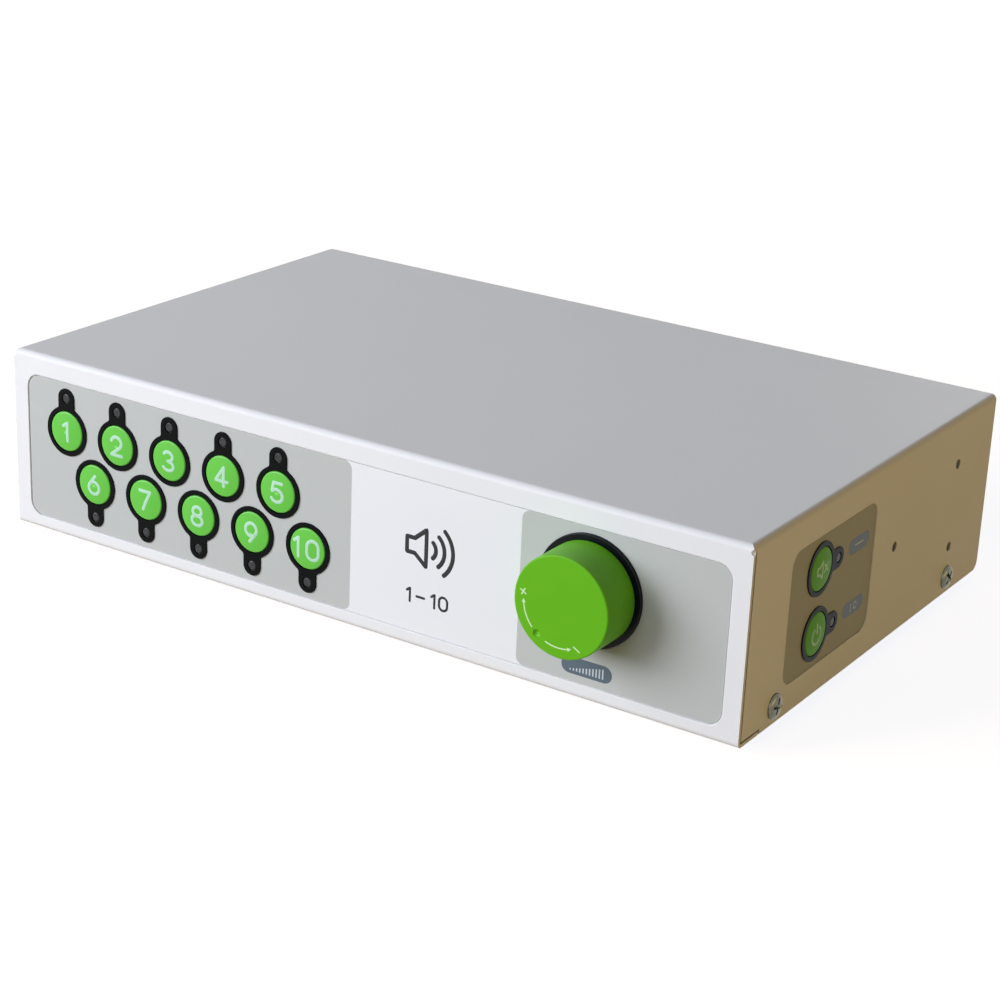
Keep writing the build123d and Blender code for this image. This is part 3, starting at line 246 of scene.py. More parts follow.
def printed_film(name, ground, gloss, field=None, spans=()):
    finish = Finish(name)
    pebble = finish.noise(PEBBLE_SIZE, detail=2.0)
    cloud = finish.noise(INK_CLOUD_SIZE, detail=2.0)
    colour = finish.mix(cloud, shaded(ground, 0.975), ground)
    if spans:
        x, _, z = finish.xyz()
        middle_z, height = (film_low.z + film_high.z) / 2, film_high.z - film_low.z
        inked = finish.mix(cloud, shaded(field, 0.96), field)
        for start, stop in spans:
            middle = ((start + stop) / 2, middle_z)
            edge = rounded_box(x, z, middle, (stop - start, height), FIELD_CORNER)
            colour = finish.mix((0.5 - edge / INK_EDGE).clamped(), colour, inked)
    return finish.set(
        base_color=colour,
        roughness=0.38 + 0.12 * cloud,
        specular_ior_level=gloss,
        normal=finish.bump(pebble, PEBBLE_DEPTH, 0.5),
    )


front_fields = [
    (film_low.x - FIELD_OVERRUN, LEFT_FIELD_END),
    (RIGHT_FIELD_START, film_high.x + FIELD_OVERRUN),
]
front_film = printed_film("film_front", FILM_WHITE, gloss=0.15, field=FIELD_GREY, spans=front_fields)
side_film = printed_film("film_side", SIDE_GREY, gloss=0.06)
print("front film in mm:", [round(s / MM, 1) for s in film_high - film_low])

# %% [markdown]
# ## Moulded plastics
#
# Key caps and knob are moulded through in green, the front caps and the knob each in its own tint;
# bezels, trim ring, sockets and relays are black. The side keys are the front keys' plastic, but their
# copy is yellower, which is painted warm shade from the dim right side. Moulds are spark-eroded, which
# leaves a fine even texture, and the gate and the cooling leave slow changes in gloss. Each could be
# its own node tree, but they differ only in a few numbers, so one function makes all of them.


# %% Plastic finishes
FLOW_SIZE, FLOW_ROUGHNESS = 9.0, 0.08


def plastic(name, colour, roughness, texture=0.5, depth=0.006, gloss=0.25, coat=0.0):
    finish = Finish(name)
    spark = finish.noise(texture, detail=2.0)
    flow = finish.noise(FLOW_SIZE, detail=2.0)
    return finish.set(
        base_color=finish.mix(flow, shaded(colour, 0.94), colour),
        roughness=(roughness - FLOW_ROUGHNESS / 2) + FLOW_ROUGHNESS * flow,
        specular_ior_level=gloss,
        coat_weight=coat,
        coat_roughness=0.25,
        normal=finish.bump(spark, depth, 0.6),
    )


key_green = plastic("plastic_key_green", (0.116, 0.525, 0.046), 0.36, gloss=0.32, coat=0.12)
# The side keys' green is the front keys' plastic made yellower: painted warm shade of the right side.
side_key_green_painted_shade = plastic("plastic_side_key_green", (0.130, 0.480, 0.018), 0.40, gloss=0.06)
knob_green = plastic("plastic_knob_green", (0.122, 0.440, 0.006), 0.42, texture=0.4, gloss=0.20)
bezel_black = plastic("plastic_bezel_black", (0.002, 0.003, 0.003), 0.34, gloss=0.06)
trim_black = plastic("plastic_trim_black", (0.003, 0.004, 0.006), 0.30, gloss=0.12)
socket_black = plastic("plastic_socket_black", (0.014, 0.014, 0.015), 0.45)
switch_black = plastic("plastic_switch_black", (0.018, 0.018, 0.019), 0.5)
plunger_black = plastic("plastic_plunger_black", (0.022, 0.022, 0.024), 0.42)
relay_black = plastic("plastic_relay_black", (0.020, 0.021, 0.023), 0.40, texture=0.7)
chip_black = plastic("epoxy_chip_black", (0.024, 0.024, 0.025), 0.55, texture=0.25)
header_white = plastic("plastic_header_white", (0.680, 0.660, 0.600), 0.42)
spacer_nylon = plastic("nylon_spacer", (0.640, 0.630, 0.580), 0.38)
lamp_white = plastic("lamp_body_white", (0.700, 0.700, 0.660), 0.35)
foot_rubber = plastic("rubber_foot_black", (0.016, 0.016, 0.017), 0.72, texture=0.3, depth=0.02)
ribbon_grey = plastic("ribbon_grey", (0.350, 0.355, 0.370), 0.45)
print("plastics:", key_green.name, knob_green.name, bezel_black.name, trim_black.name, foot_rubber.name)

# %% [markdown]
# ## Metals
#
# Screws are zinc plated with a clear chromate that leaves a faint yellow-green cast; nuts are bright
# nickel; the shaft is turned aluminium. A plain mirror would look like chrome. Plating is never
# even, so clouds shift its colour and roughness, and a fine grit breaks up what it mirrors. The
# screws are coloured darker than bare zinc, which is a painted dark reflection, and the strong
# contrast of their clouds adds painted glints on top of the uneven plating.


# %% Plated and turned metals
CLOUD_ROUGHNESS = 0.16
GRIT_SIZE, GRIT_DEPTH = 0.25, 0.006


def plated(name, bright, dull, roughness, size=1.6):
    finish = Finish(name)
    cloud = finish.noise(size, detail=4.0, roughness=0.6)
    grit = finish.noise(GRIT_SIZE, detail=1.0)
    return finish.set(
        base_color=finish.mix(cloud, dull, bright),
        metallic=1.0,
        roughness=roughness + CLOUD_ROUGHNESS * cloud,
        normal=finish.bump(grit, GRIT_DEPTH, 0.5),
    )


# Screw zinc is darker than real zinc (painted dark reflection), and its bright clouds are painted glints.
screw_zinc_painted_glints = plated("zinc_screw", (0.21, 0.205, 0.155), (0.07, 0.07, 0.045), 0.16, size=0.9)
nut_nickel = plated("nickel_nut", (0.50, 0.49, 0.46), (0.38, 0.37, 0.34), 0.20)
control_metal = plated("control_zinc", (0.62, 0.62, 0.60), (0.50, 0.50, 0.48), 0.30, size=3.0)
shaft_aluminium = plated("shaft_aluminium", (0.78, 0.78, 0.79), (0.68, 0.68, 0.70), 0.26)
standoff_brass = plated("standoff_brass", (0.76, 0.60, 0.30), (0.62, 0.47, 0.22), 0.24)
clip_steel = plated("clip_spring_steel", (0.46, 0.47, 0.50), (0.36, 0.37, 0.40), 0.30)
print("metals:", [m.name for m in (screw_zinc_painted_glints, nut_nickel, control_metal, shaft_aluminium)])

# %% [markdown]
# ## Light windows, boards and capacitors
#
# Three finishes need more than a tint. The light windows are smoked acrylic: nearly black, smooth
# and darker in some places than in others. The boards are woven glass under green lacquer, with
# copper tracks that show as slightly lighter bands. The capacitors wear a dark sleeve with one pale
# stripe, and their tops are bare aluminium. Tracks and stripe could be thin pieces of their own,
# but ink and lacquer have no thickness, so formulas place them.


# %% Smoked windows, lacquered boards and sleeved capacitors
SMOKE_DARK, SMOKE_PALE = (0.016, 0.017, 0.019), (0.075, 0.077, 0.080)


def smoked_window():
    finish = Finish("acrylic_smoked")
    smoke = finish.noise(1.2, detail=1.0)
    return finish.set(
        base_color=finish.mix(smoke, SMOKE_DARK, SMOKE_PALE),
        roughness=0.12 + 0.08 * smoke,
        specular_ior_level=0.16,
        ior=1.49,
    )


WEAVE_TURNS = 9000.0
WEAVE_SHARE = 0.2
TRACK_SCALE = 90.0


def lacquered_board():
    finish = Finish("board_green_lacquer")
    x, y, _ = finish.xyz()
    weave = (x * WEAVE_TURNS).sine() * (y * WEAVE_TURNS).sine()
    sockets = {"Vector": finish.place, "Scale": TRACK_SCALE, "Mortar Size": 0.035, "Mortar Smooth": 0.2}
    tracks = finish.node("ShaderNodeTexBrick", {"offset": 0.5}, sockets, output="Fac")
    return finish.set(
        base_color=finish.mix(tracks, (0.010, 0.115, 0.040), (0.018, 0.180, 0.062)),
        roughness=0.34 - 0.06 * tracks,
        normal=finish.bump(weave * WEAVE_SHARE + tracks, 0.03, 0.5),
    )


STRIPE_DEPTH = 1.2 * MM
CAN_TOP_DEPTH = 0.75 * MM
SLEEVE_EDGE = 0.12 * MM


def sleeved_can():
    finish = Finish("capacitor_sleeve")
    _, y, z = finish.xyz()
    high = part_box("filter_capacitors")[1]
    stripe = ((y - (high.y - STRIPE_DEPTH)) / SLEEVE_EDGE).clamped()
    topped = ((z - (high.z - CAN_TOP_DEPTH)) / SLEEVE_EDGE).clamped()
    shrink = finish.noise(2.5, detail=3.0)
    sleeve = finish.mix(stripe, (0.012, 0.020, 0.060), (0.420, 0.440, 0.460))
    return finish.set(
        base_color=finish.mix(topped, sleeve, (0.620, 0.620, 0.620)),
        metallic=topped,
        roughness=0.30 + 0.10 * shrink,
        normal=finish.bump(shrink, 0.03, 0.5),
    )


window_smoke = smoked_window()
board_green = lacquered_board()
capacitor_sleeve = sleeved_can()
print("special finishes:", window_smoke.name, board_green.name, capacitor_sleeve.name)

# %% [markdown]
# ## Inks
#
# Legends are screen printed: a pale green-white on caps and knob, slate and white on the films, and
# black where the plain symbol stands. Ink is matt and slightly uneven where the screen let go, so a
# plain colour gets a fine mottle. Each legend is a thin piece of its own that carries one of these.


# %% Printing inks
def ink(name, colour, roughness=0.5):
    finish = Finish(name)
    screen = finish.noise(0.3, detail=2.0)
    return finish.set(
        base_color=finish.mix(screen, shaded(colour, 0.94), colour),
        roughness=roughness - 0.05 * screen,
        specular_ior_level=0.30,
        normal=finish.bump(screen, 0.004, 0.5),
    )


numeral_ink = ink("ink_numeral", (0.455, 0.725, 0.540))
knob_ink = ink("ink_knob", (0.600, 0.830, 0.450))
slate_ink = ink("ink_slate", (0.095, 0.128, 0.160))
pale_ink = ink("ink_pale", (0.560, 0.600, 0.640))
dark_ink = ink("ink_dark", (0.012, 0.013, 0.016))
legend_grey = ink("ink_legend_grey", (0.060, 0.066, 0.074))
print("inks:", numeral_ink.name, slate_ink.name, dark_ink.name)

# %% [markdown]
# ## Give each solid its finish
#
# The solids keep their meshes. Only their material slots are filled, one finish for each kind of
# piece, named here once so that nothing is left in a flat colour.

# %% Finishes of the solids
FINISHES = {
    cover_white: ["top_cover"],
    chassis_white: ["base_chassis"],
    screw_zinc_painted_glints: ["case_screws", "foot_screws", "board_screws", "panel_studs", "stud_nuts"],
    foot_rubber: ["rubber_feet"],
    front_film: ["front_overlay"],
    side_film: ["side_overlay"],
    bezel_black: ["key_bezels"],
    window_smoke: ["light_pipes"],
    switch_black: ["tact_switches"],
    plunger_black: [f"switch_plunger_{n}" for n in range(1, 13)],
    lamp_white: ["indicator_lamps"],
    board_green: ["front_key_board", "side_key_board", "control_board", "main_board"],
    spacer_nylon: ["board_spacers"],
    trim_black: ["knob_trim_ring"],
    control_metal: ["control_bushing", "control_housing", "bushing_washer"],
    nut_nickel: ["bushing_nut", "socket_nuts"],
    standoff_brass: ["board_standoffs"],
    socket_black: ["audio_sockets", "supply_inlet"],
    relay_black: ["selector_relays"],
    capacitor_sleeve: ["filter_capacitors"],
    chip_black: ["control_chips"],
    header_white: ["cable_headers"],
    ribbon_grey: ["ribbon_cables"],
    key_green: [f"key_cap_{n}" for n in range(1, 11)],
    side_key_green_painted_shade: ["key_cap_11", "key_cap_12"],
    knob_green: ["volume_knob"],
    shaft_aluminium: ["control_shaft"],
    clip_steel: ["knob_clip"],
}
for material, names in FINISHES.items():
    for name in names:
        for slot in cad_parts[name].material_slots:
            slot.material = material
left_out = set(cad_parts) - {name for names in FINISHES.values() for name in names}
print("solids dressed:", sum(map(len, FINISHES.values())), "left out:", sorted(left_out))

# %% [markdown]
# ## Faces to work on
#
# Printing and screwing happen square to a face. Each face of the box gets its own flat frame: x to
# the right and y up as a person in front of it sees it, and z out of the metal. Pieces are drawn
# there in millimetres and then laid on the box.


# %% Flat frames on the box
def face_frame(right, origin, up=(0, 0, 1)):
    """Matrix from a face's own millimetres to the metres of the whole frame."""
    right, up = Vector(right), Vector(up)
    turn = Matrix((right, up, right.cross(up))).transposed().to_4x4()
    return Matrix.Translation(origin) @ turn @ Matrix.Scale(MM, 4)


FRONT_KEYS = 10
case_low, case_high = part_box("top_cover")
cap_faces, cap_middles = {}, {}
for number in range(1, 13):
    low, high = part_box(f"key_cap_{number}")
    cap_middles[number] = middle = (low + high) / 2
    if number <= FRONT_KEYS:
        cap_faces[number] = face_frame((1, 0, 0), (middle.x, low.y, middle.z))
    else:
        cap_faces[number] = face_frame((0, 1, 0), (high.x, middle.y, middle.z))
knob_low, knob_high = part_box("volume_knob")
knob_middle = (knob_low + knob_high) / 2
knob_face = face_frame((1, 0, 0), (knob_middle.x, knob_low.y, knob_middle.z))
side_low, side_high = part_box("side_overlay")
rear_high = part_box("base_chassis")[1]
front_film_face = face_frame((1, 0, 0), (0, film_low.y, case_low.z))
side_film_face = face_frame((0, 1, 0), (side_high.x, case_low.y, case_low.z))
rear_face = face_frame((-1, 0, 0), (0, rear_high.y, 0))
right_face = face_frame((0, 1, 0), (case_high.x, 0, 0))
left_face = face_frame((0, -1, 0), (case_low.x, 0, 0))
under_face = face_frame((1, 0, 0), (0, 0, 0), up=(0, -1, 0))
print("knob middle in mm:", [round(v / MM, 2) for v in knob_middle])

# %% [markdown]
# ## Geometry trees
#
# What repeats is grown by geometry nodes: strokes of print, screws, nuts. A tree takes a carrier,
# which is a bare mesh of points or lines, and its sizes by name. The grown shape is turned into a
# plain mesh at once, so nothing live is left on the finished piece.


# %% Trees with named sizes
MERGE_WITHIN = 0.0005


class Shape(Nodes):
    """A geometry tree with named sizes and a finish."""

    def __init__(self, name, **sizes):
        tree = bpy.data.node_groups.new(name, "GeometryNodeTree")
        super().__init__(tree)
        self.socket("Carrier", "INPUT", "NodeSocketGeometry")
        for label, value in sizes.items():
            kind = "NodeSocketInt" if isinstance(value, int) else "NodeSocketFloat"
            self.socket(label, "INPUT", kind).default_value = value
        self.socket("Finish", "INPUT", "NodeSocketMaterial")
        self.socket("Shape", "OUTPUT", "NodeSocketGeometry")
        self.source = tree.nodes.new("NodeGroupInput")

    def socket(self, label, side, kind):
        return self.tree.interface.new_socket(label, in_out=side, socket_type=kind)

    def given(self, label):
        return Wire(self, self.source.outputs[label])

    def point(self, x=0.0, y=0.0, z=0.0):
        return self.node("ShaderNodeCombineXYZ", sockets={"X": x, "Y": y, "Z": z})

    def place_parts(self):
        """Wires for x, y and z of each point."""
        place = self.node("GeometryNodeInputPosition")
        return self.node("ShaderNodeSeparateXYZ", sockets={"Vector": place}).outputs(*"XYZ")

    def moved(self, geometry, x, y, z):
        sockets = {"Geometry": geometry, "Position": self.point(x, y, z)}
        return self.node("GeometryNodeSetPosition", sockets=sockets)

    def together(self, *geometries):
        return self.node("GeometryNodeJoinGeometry", sockets={"Geometry": list(geometries)})

    def merged(self, geometry):
        sockets = {"Geometry": geometry, "Distance": MERGE_WITHIN}
        return self.node("GeometryNodeMergeByDistance", sockets=sockets)

    def slab(self, outline, height):
        """A closed slab: the filled outline pulled up to its height."""
        base = self.node("GeometryNodeFillCurve", sockets={"Curve": outline})
        sockets = {"Mesh": base, "Offset": (0.0, 0.0, 1.0), "Offset Scale": height, "Individual": False}
        raised = self.node("GeometryNodeExtrudeMesh", {"mode": "FACES"}, sockets)
        under = self.node("GeometryNodeFlipFaces", sockets={"Mesh": base})
        return self.merged(self.together(raised, under))

    def at_points(self, shape, turn=(0.0, 0.0, 0.0)):
        sockets = {"Points": self.given("Carrier"), "Instance": shape, "Rotation": turn}
        return self.node("GeometryNodeInstanceOnPoints", sockets=sockets)

    def finish(self, geometry):
        whole = self.node("GeometryNodeRealizeInstances", sockets={"Geometry": geometry})
        sockets = {"Geometry": whole, "Material": self.given("Finish")}
        dressed = self.node("GeometryNodeSetMaterial", sockets=sockets)
        out = self.tree.nodes.new("NodeGroupOutput")
        self.feed(out.inputs["Shape"], dressed)
        return self.tree


print("helper: Shape")


# %% Growing a tree on a carrier of lines or points
def placed(name, data):
    """A new object in the scene that carries this data."""
    thing = bpy.data.objects.new(name, data)
    bpy.context.scene.collection.objects.link(thing)
    return thing


def grow(tree, carrier, finish, **sizes):
    """The plain mesh that a tree makes from a carrier mesh."""
    holder = placed("holder", carrier)
    modifier = holder.modifiers.new("grow", "NODES")
    modifier.node_group = tree
    for item in tree.interface.items_tree:
        if item.in_out == "INPUT" and item.name == "Finish":
            modifier[item.identifier] = finish
        elif item.in_out == "INPUT" and item.name in sizes:
            modifier[item.identifier] = sizes[item.name]
    seen = holder.evaluated_get(bpy.context.evaluated_depsgraph_get())
    grown = bpy.data.meshes.new_from_object(seen)
    bpy.data.objects.remove(holder)
    return grown


def is_loop(stroke):
    return math.dist(stroke[0], stroke[-1]) < MERGE_WITHIN


def lines(strokes):
    """A carrier of lines through each list of (x, y) points; one that ends where it starts is a loop."""
    mesh = bpy.data.meshes.new("lines")
    points, edges = [], []
    for stroke in strokes:
        first = len(points)
        points += [(x, y, 0.0) for x, y in (stroke[:-1] if is_loop(stroke) else stroke)]
        edges += [(i, i + 1) for i in range(first, len(points) - 1)]
        if is_loop(stroke):
            edges.append((len(points) - 1, first))
    mesh.from_pydata(points, edges, [])
    return mesh


def dots(points):
    """A carrier of single points."""
    mesh = bpy.data.meshes.new("dots")
    mesh.from_pydata(points, [], [])
    return mesh


print("helpers: placed, grow, lines, dots")

# %% [markdown]
# ## Finished pieces
#
# A piece such as a set of four screws is grown on several faces and then joined into one mesh. Its
# place goes into that mesh, and its object stays at the origin, as the solids do, so that patterns
# in object coordinates lie the same way on everything.


# %% Joining meshes and adding finished pieces
def joined(name, parts):
    """One mesh from pairs of mesh and matrix."""
    builder = bmesh.new()
    materials = []
    for mesh, matrix in parts:
        first = len(builder.faces)
        copy = mesh.copy()
        copy.transform(matrix)
        builder.from_mesh(copy)
        builder.faces.ensure_lookup_table()
        materials += [m for m in copy.materials if m not in materials]
        for face in builder.faces[first:]:
            face.material_index = materials.index(copy.materials[face.material_index])
    whole = bpy.data.meshes.new(name)
    builder.to_mesh(whole)
    builder.free()
    for material in materials:
        whole.materials.append(material)
    return whole


SHARP_ANGLE = math.radians(35.0)


def add_piece(name, parts, body, stands_for=()):
    """A finished piece at the origin, made of parts on their faces and riding on its body."""
    mesh = joined(name, parts)
    mesh.shade_smooth()
    mesh.set_sharp_from_angle(angle=SHARP_ANGLE)
    piece = placed(name, mesh)
    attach(piece, body)
    if stands_for:
        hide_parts(*stands_for)
    print(f"{name}: {len(mesh.polygons)} faces on {body}")


print("helpers: joined, add_piece")

# %% [markdown]
# ## The printed stroke and the printed patch
#
# Every legend is drawn with one kind of stroke: a line with round ends and a low, rounded section,
# as thick ink has. Text objects would bring a typeface that nobody chose, so the figures are lines
# and arcs instead, and the same tree prints symbols. The stroke narrows over the last half width of
# an open line, which rounds its ends, and it can sink outwards as the crown of a key cap does. An
# arrowhead or a pill is a patch, which is a filled outline.


# %% Trees of the printed stroke and the printed patch
SECTION_SIDES = 10
TIP_SCALE = 0.02
PATCH_HEIGHT = 0.03


def stroke_tree():
    shape = Shape("printed_stroke", Width=0.9, Height=0.05, Step=0.14, Bulge=0.0)
    width, height = shape.given("Width"), shape.given("Height")
    line = shape.node("GeometryNodeMeshToCurve", sockets={"Mesh": shape.given("Carrier")})
    sockets = {"Curve": line, "Length": shape.given("Step")}
    line = shape.node("GeometryNodeResampleCurve", {"mode": "LENGTH"}, sockets)
    along = shape.node("GeometryNodeSplineParameter", output="Length")
    whole = shape.node("GeometryNodeSplineLength", output="Length")
    loop = shape.node("GeometryNodeInputSplineCyclic")
    inward = 1.0 - (along.at_most(whole - along) / (width * 0.5)).at_most(1.0)
    rounding = (1.0 - inward**2).at_least(0.0) ** 0.5
    scale = rounding.at_least(loop).at_least(TIP_SCALE)
    sockets = {"Resolution": SECTION_SIDES, "Radius": 0.5}
    section = shape.node("GeometryNodeCurvePrimitiveCircle", sockets=sockets)
    sockets = {"Geometry": section, "Scale": shape.point(width, height * 2, 1.0)}
    section = shape.node("GeometryNodeTransform", sockets=sockets)
    line = shape.node("GeometryNodeSetCurveNormal", {"mode": "Z_UP"}, {"Curve": line})
    sockets = {"Curve": line, "Profile Curve": section, "Scale": scale, "Fill Caps": True}
    bar = shape.node("GeometryNodeCurveToMesh", sockets=sockets)
    x, y, z = shape.place_parts()
    return shape.finish(shape.moved(bar, x, y, z - (x * x + y * y) * shape.given("Bulge") / 2.0))


def patch_tree():
    shape = Shape("printed_patch", Height=PATCH_HEIGHT)
    outline = shape.node("GeometryNodeMeshToCurve", sockets={"Mesh": shape.given("Carrier")})
    return shape.finish(shape.slab(outline, shape.given("Height")))


printed_stroke = stroke_tree()
printed_patch = patch_tree()
print("trees:", printed_stroke.name, printed_patch.name)


# %% Printing strokes and filled outlines
def lengthened(stroke, extra):
    """The stroke with both ends carried on straight by this much; a loop stays as it is."""
    if is_loop(stroke):
        return stroke
    ends = [(Vector(stroke[i]), Vector(stroke[j])) for i, j in ((0, 1), (-1, -2))]
    first, last = (tuple(end + (end - before).normalized() * extra) for end, before in ends)
    return [first, *stroke[1:-1], last]


def printed(strokes, finish, width, **sizes):
    """Mesh of strokes, whose round ends are centred on the ends of each line."""
    carrier = lines([lengthened(stroke, width / 2) for stroke in strokes])
    return grow(printed_stroke, carrier, finish, Width=width, **sizes)


def filled(outlines, finish, height=PATCH_HEIGHT):
    """Mesh of flat patches inside open outlines, which are closed here."""
    closed = [[*outline, outline[0]] for outline in outlines]
    return grow(printed_patch, lines(closed), finish, Height=height)


print("helpers: printed, filled")

# %% [markdown]
# ## Numerals
#
# The figures are plain geometric ones, 6.7 mm tall over their strokes: arcs and straight lines that
# share one width. Each is a list of strokes in millimetres about the middle of its cap.


# %% Figures drawn as lines and arcs
def bow(middle_x, middle_y, radius_x, radius_y, start, stop, count=28):
    """Points on an arc of an ellipse between two angles in degrees."""
    turn = [math.radians(start + (stop - start) * i / count) for i in range(count + 1)]
    return [(middle_x + radius_x * math.cos(a), middle_y + radius_y * math.sin(a)) for a in turn]


TOP = 2.85
ZERO = bow(0, 0.95, 1.95, 1.9, 0, 180) + bow(0, -0.95, 1.95, 1.9, 180, 360)
FIGURES = {
    "0": [[*ZERO, ZERO[0]]],
    "1": [[(-0.95, 1.75), (0.6, TOP)], [(0.6, TOP), (0.6, -TOP)]],
    "2": [bow(0, 1.0, 1.95, 1.85, 165, -35) + [(-2.0, -TOP)], [(-2.0, -TOP), (2.0, -TOP)]],
    "3": [bow(-0.1, 1.45, 1.7, 1.4, 150, -90), bow(-0.1, -1.4, 2.0, 1.45, 90, -152)],
    "4": [[(0.7, TOP), (-2.2, -1.3)], [(-2.2, -1.3), (2.1, -1.3)], [(0.7, TOP), (0.7, -TOP)]],
    "5": [[(1.7, TOP), (-1.2, TOP)], [(-1.2, TOP), (-1.6, 0.3)], bow(-0.05, -0.95, 2.1, 1.9, 138, -150)],
    "6": [[(0.5, TOP), (-1.7, 0.1)], bow(0, -0.9, 2.0, 1.95, 0, 360)],
    "7": [[(-2.0, TOP), (2.0, TOP)], [(2.0, TOP), (-0.7, -TOP)]],
    "8": [bow(0, 1.5, 1.6, 1.35, 0, 360), bow(0, -1.3, 1.95, 1.55, 0, 360)],
    "9": [bow(0, 0.9, 2.0, 1.95, 0, 360), [(1.7, -0.1), (-0.5, -TOP)]],
}
ONE_OF_TEN, ZERO_OF_TEN = -3.6, 2.1


def shifted(strokes, x=0.0, y=0.0, scale=1.0):
    """Strokes scaled about their middle and then moved."""
    return [[(x + px * scale, y + py * scale) for px, py in stroke] for stroke in strokes]


def number_strokes(number):
    """Strokes of a number from 1 to 10, centred."""
    if number < 10:
        return FIGURES[str(number)]
    return shifted(FIGURES["1"], x=ONE_OF_TEN) + shifted(FIGURES["0"], x=ZERO_OF_TEN)


MUTE_SIGN = [
    [(-3.0, 1.0), (-1.7, 1.0), (-0.1, 2.4), (-0.1, -2.4), (-1.7, -1.0), (-3.0, -1.0), (-3.0, 1.0)],
    [(1.1, 1.05), (3.1, -1.05)],
    [(1.1, -1.05), (3.1, 1.05)],
]
POWER_SIGN = [bow(0, -0.35, 2.5, 2.5, 125, 415), [(0, 2.9), (0, 0.3)]]
NUMERAL_WIDTH, SIGN_WIDTH = 1.0, 0.7
CAP_CROWN, CROWN_RADIUS = 0.35, 5.6
cap_bulge = 2 * CAP_CROWN / (CROWN_RADIUS**2 + CAP_CROWN**2)
for number, face in cap_faces.items():
    if number <= FRONT_KEYS:
        legend = printed(number_strokes(number), numeral_ink, NUMERAL_WIDTH, Bulge=cap_bulge)
    else:
        sign = MUTE_SIGN if number == FRONT_KEYS + 1 else POWER_SIGN
        legend = printed(sign, numeral_ink, SIGN_WIDTH, Bulge=cap_bulge)
    add_piece(f"key_legend_{number}", [(legend, face)], f"key_{number}")

# %% [markdown]
# ## Marks on the knob
#
# Two arcs with arrowheads run from the finger dimple towards a plus and a minus sign. Angles are in
# degrees: the dimple's and the signs' lean are clockwise from the top, and the rest are counted from
# the dimple. The marks turn with the knob, so they ride on its body.

# %% Arcs, arrowheads, plus and minus
DIMPLE_AT = -143.0
SIGNS_LEAN = 29.5
MARK_RADIUS, SIGN_RADIUS = 11.2, 11.5
MARK_WIDTH, MARK_HEIGHT = 0.38, 0.02
HEAD_HALF_WIDTH = 0.60
PLUS_ARC, PLUS_HEAD, PLUS_AT, PLUS_LENGTH = (11, 47), (46, 52), 61, 2.0
MINUS_ARC, MINUS_HEAD, MINUS_AT, MINUS_LENGTH = (-16, -52), (-51, -57), -65, 2.1


def on_dial(angle, radius=MARK_RADIUS):
    """Point at this angle, clockwise from the top, on the knob's face."""
    return (radius * math.sin(math.radians(angle)), radius * math.cos(math.radians(angle)))


def dial_arc(start, stop, count=24):
    return [on_dial(start + (stop - start) * i / count) for i in range(count + 1)]


def arrow_head(base, tip):
    """Outline of an arrowhead between the angles of its base and its tip."""
    corners = [on_dial(base, MARK_RADIUS + out) for out in (HEAD_HALF_WIDTH, -HEAD_HALF_WIDTH)]
    return [on_dial(tip), *corners]


def dial_bar(angle, lean, length):
    """A short bar centred on the mark's place and leaning clockwise from upright."""
    x, y = on_dial(angle, SIGN_RADIUS)
    dx, dy = (length / 2 * v for v in (math.sin(math.radians(lean)), math.cos(math.radians(lean))))
    return [(x - dx, y - dy), (x + dx, y + dy)]


dial_arcs = [dial_arc(DIMPLE_AT + start, DIMPLE_AT + stop) for start, stop in (PLUS_ARC, MINUS_ARC)]
arrow_heads = [arrow_head(DIMPLE_AT + base, DIMPLE_AT + tip) for base, tip in (PLUS_HEAD, MINUS_HEAD)]
knob_signs = [
    dial_bar(DIMPLE_AT + PLUS_AT, SIGNS_LEAN, PLUS_LENGTH),
    dial_bar(DIMPLE_AT + PLUS_AT, SIGNS_LEAN + 90, PLUS_LENGTH),
    dial_bar(DIMPLE_AT + MINUS_AT, SIGNS_LEAN + 90, MINUS_LENGTH),
]
knob_print = [
    (printed(dial_arcs + knob_signs, knob_ink, MARK_WIDTH, Height=MARK_HEIGHT), knob_face),
    (filled(arrow_heads, knob_ink, MARK_HEIGHT), knob_face),
]
add_piece("knob_marks", knob_print, "knob")

# %% [markdown]
# ## Legends on the films
#
# Under the knob lies a slate pill with rising bars for the level, and beside each side key a smaller
# pill with a plain sign. In the middle of the front stands a plain loudspeaker symbol with the
# figures one to ten under it.


# %% Pills, level bars and the loudspeaker symbol
def pill(middle, length, width):
    """Outline of a bar with half-round ends."""
    x, y = middle
    reach, radius = (length - width) / 2, width / 2
    return bow(x + reach, y, radius, radius, -90, 90, 12) + bow(x - reach, y, radius, radius, 90, 270, 12)


LEVEL_MIDDLE, LEVEL_LENGTH, LEVEL_WIDTH = (79.1, 9.2), 15.6, 4.9
LEVEL_FOOT, FIRST_LEVEL, LEVEL_STEP = 7.85, 0.2, 0.24
LEGEND_HEIGHT, THIN_LINE, SPEAKER_LINE, FIGURE_LINE = 0.06, 0.5, 1.3, 0.75
level_bars = []
for i, x in enumerate(range(-5, 6)):
    bar_x, bar_top = LEVEL_MIDDLE[0] + x, LEVEL_FOOT + FIRST_LEVEL + LEVEL_STEP * i
    level_bars.append([(bar_x, LEVEL_FOOT), (bar_x, bar_top)])
SPEAKER_BODY = [(-6.0, 2.2), (-3.4, 2.2), (0.4, 5.4), (0.4, -5.4), (-3.4, -2.2), (-6.0, -2.2), (-6.0, 2.2)]
SPEAKER = [SPEAKER_BODY, *(bow(0.6, 0, radius, radius, -48, 48) for radius in (3.0, 5.8, 8.6))]
MIDDLE_X, SPEAKER_Z, FIGURES_Z = 28.0, 30.0, 15.2
SPEAKER_X, FIRST_ONE, DASH, ONE, ZERO_AFTER = -1.6, -6.6, (-4.0, -1.4), 1.6, 4.9
SMALL = 0.68
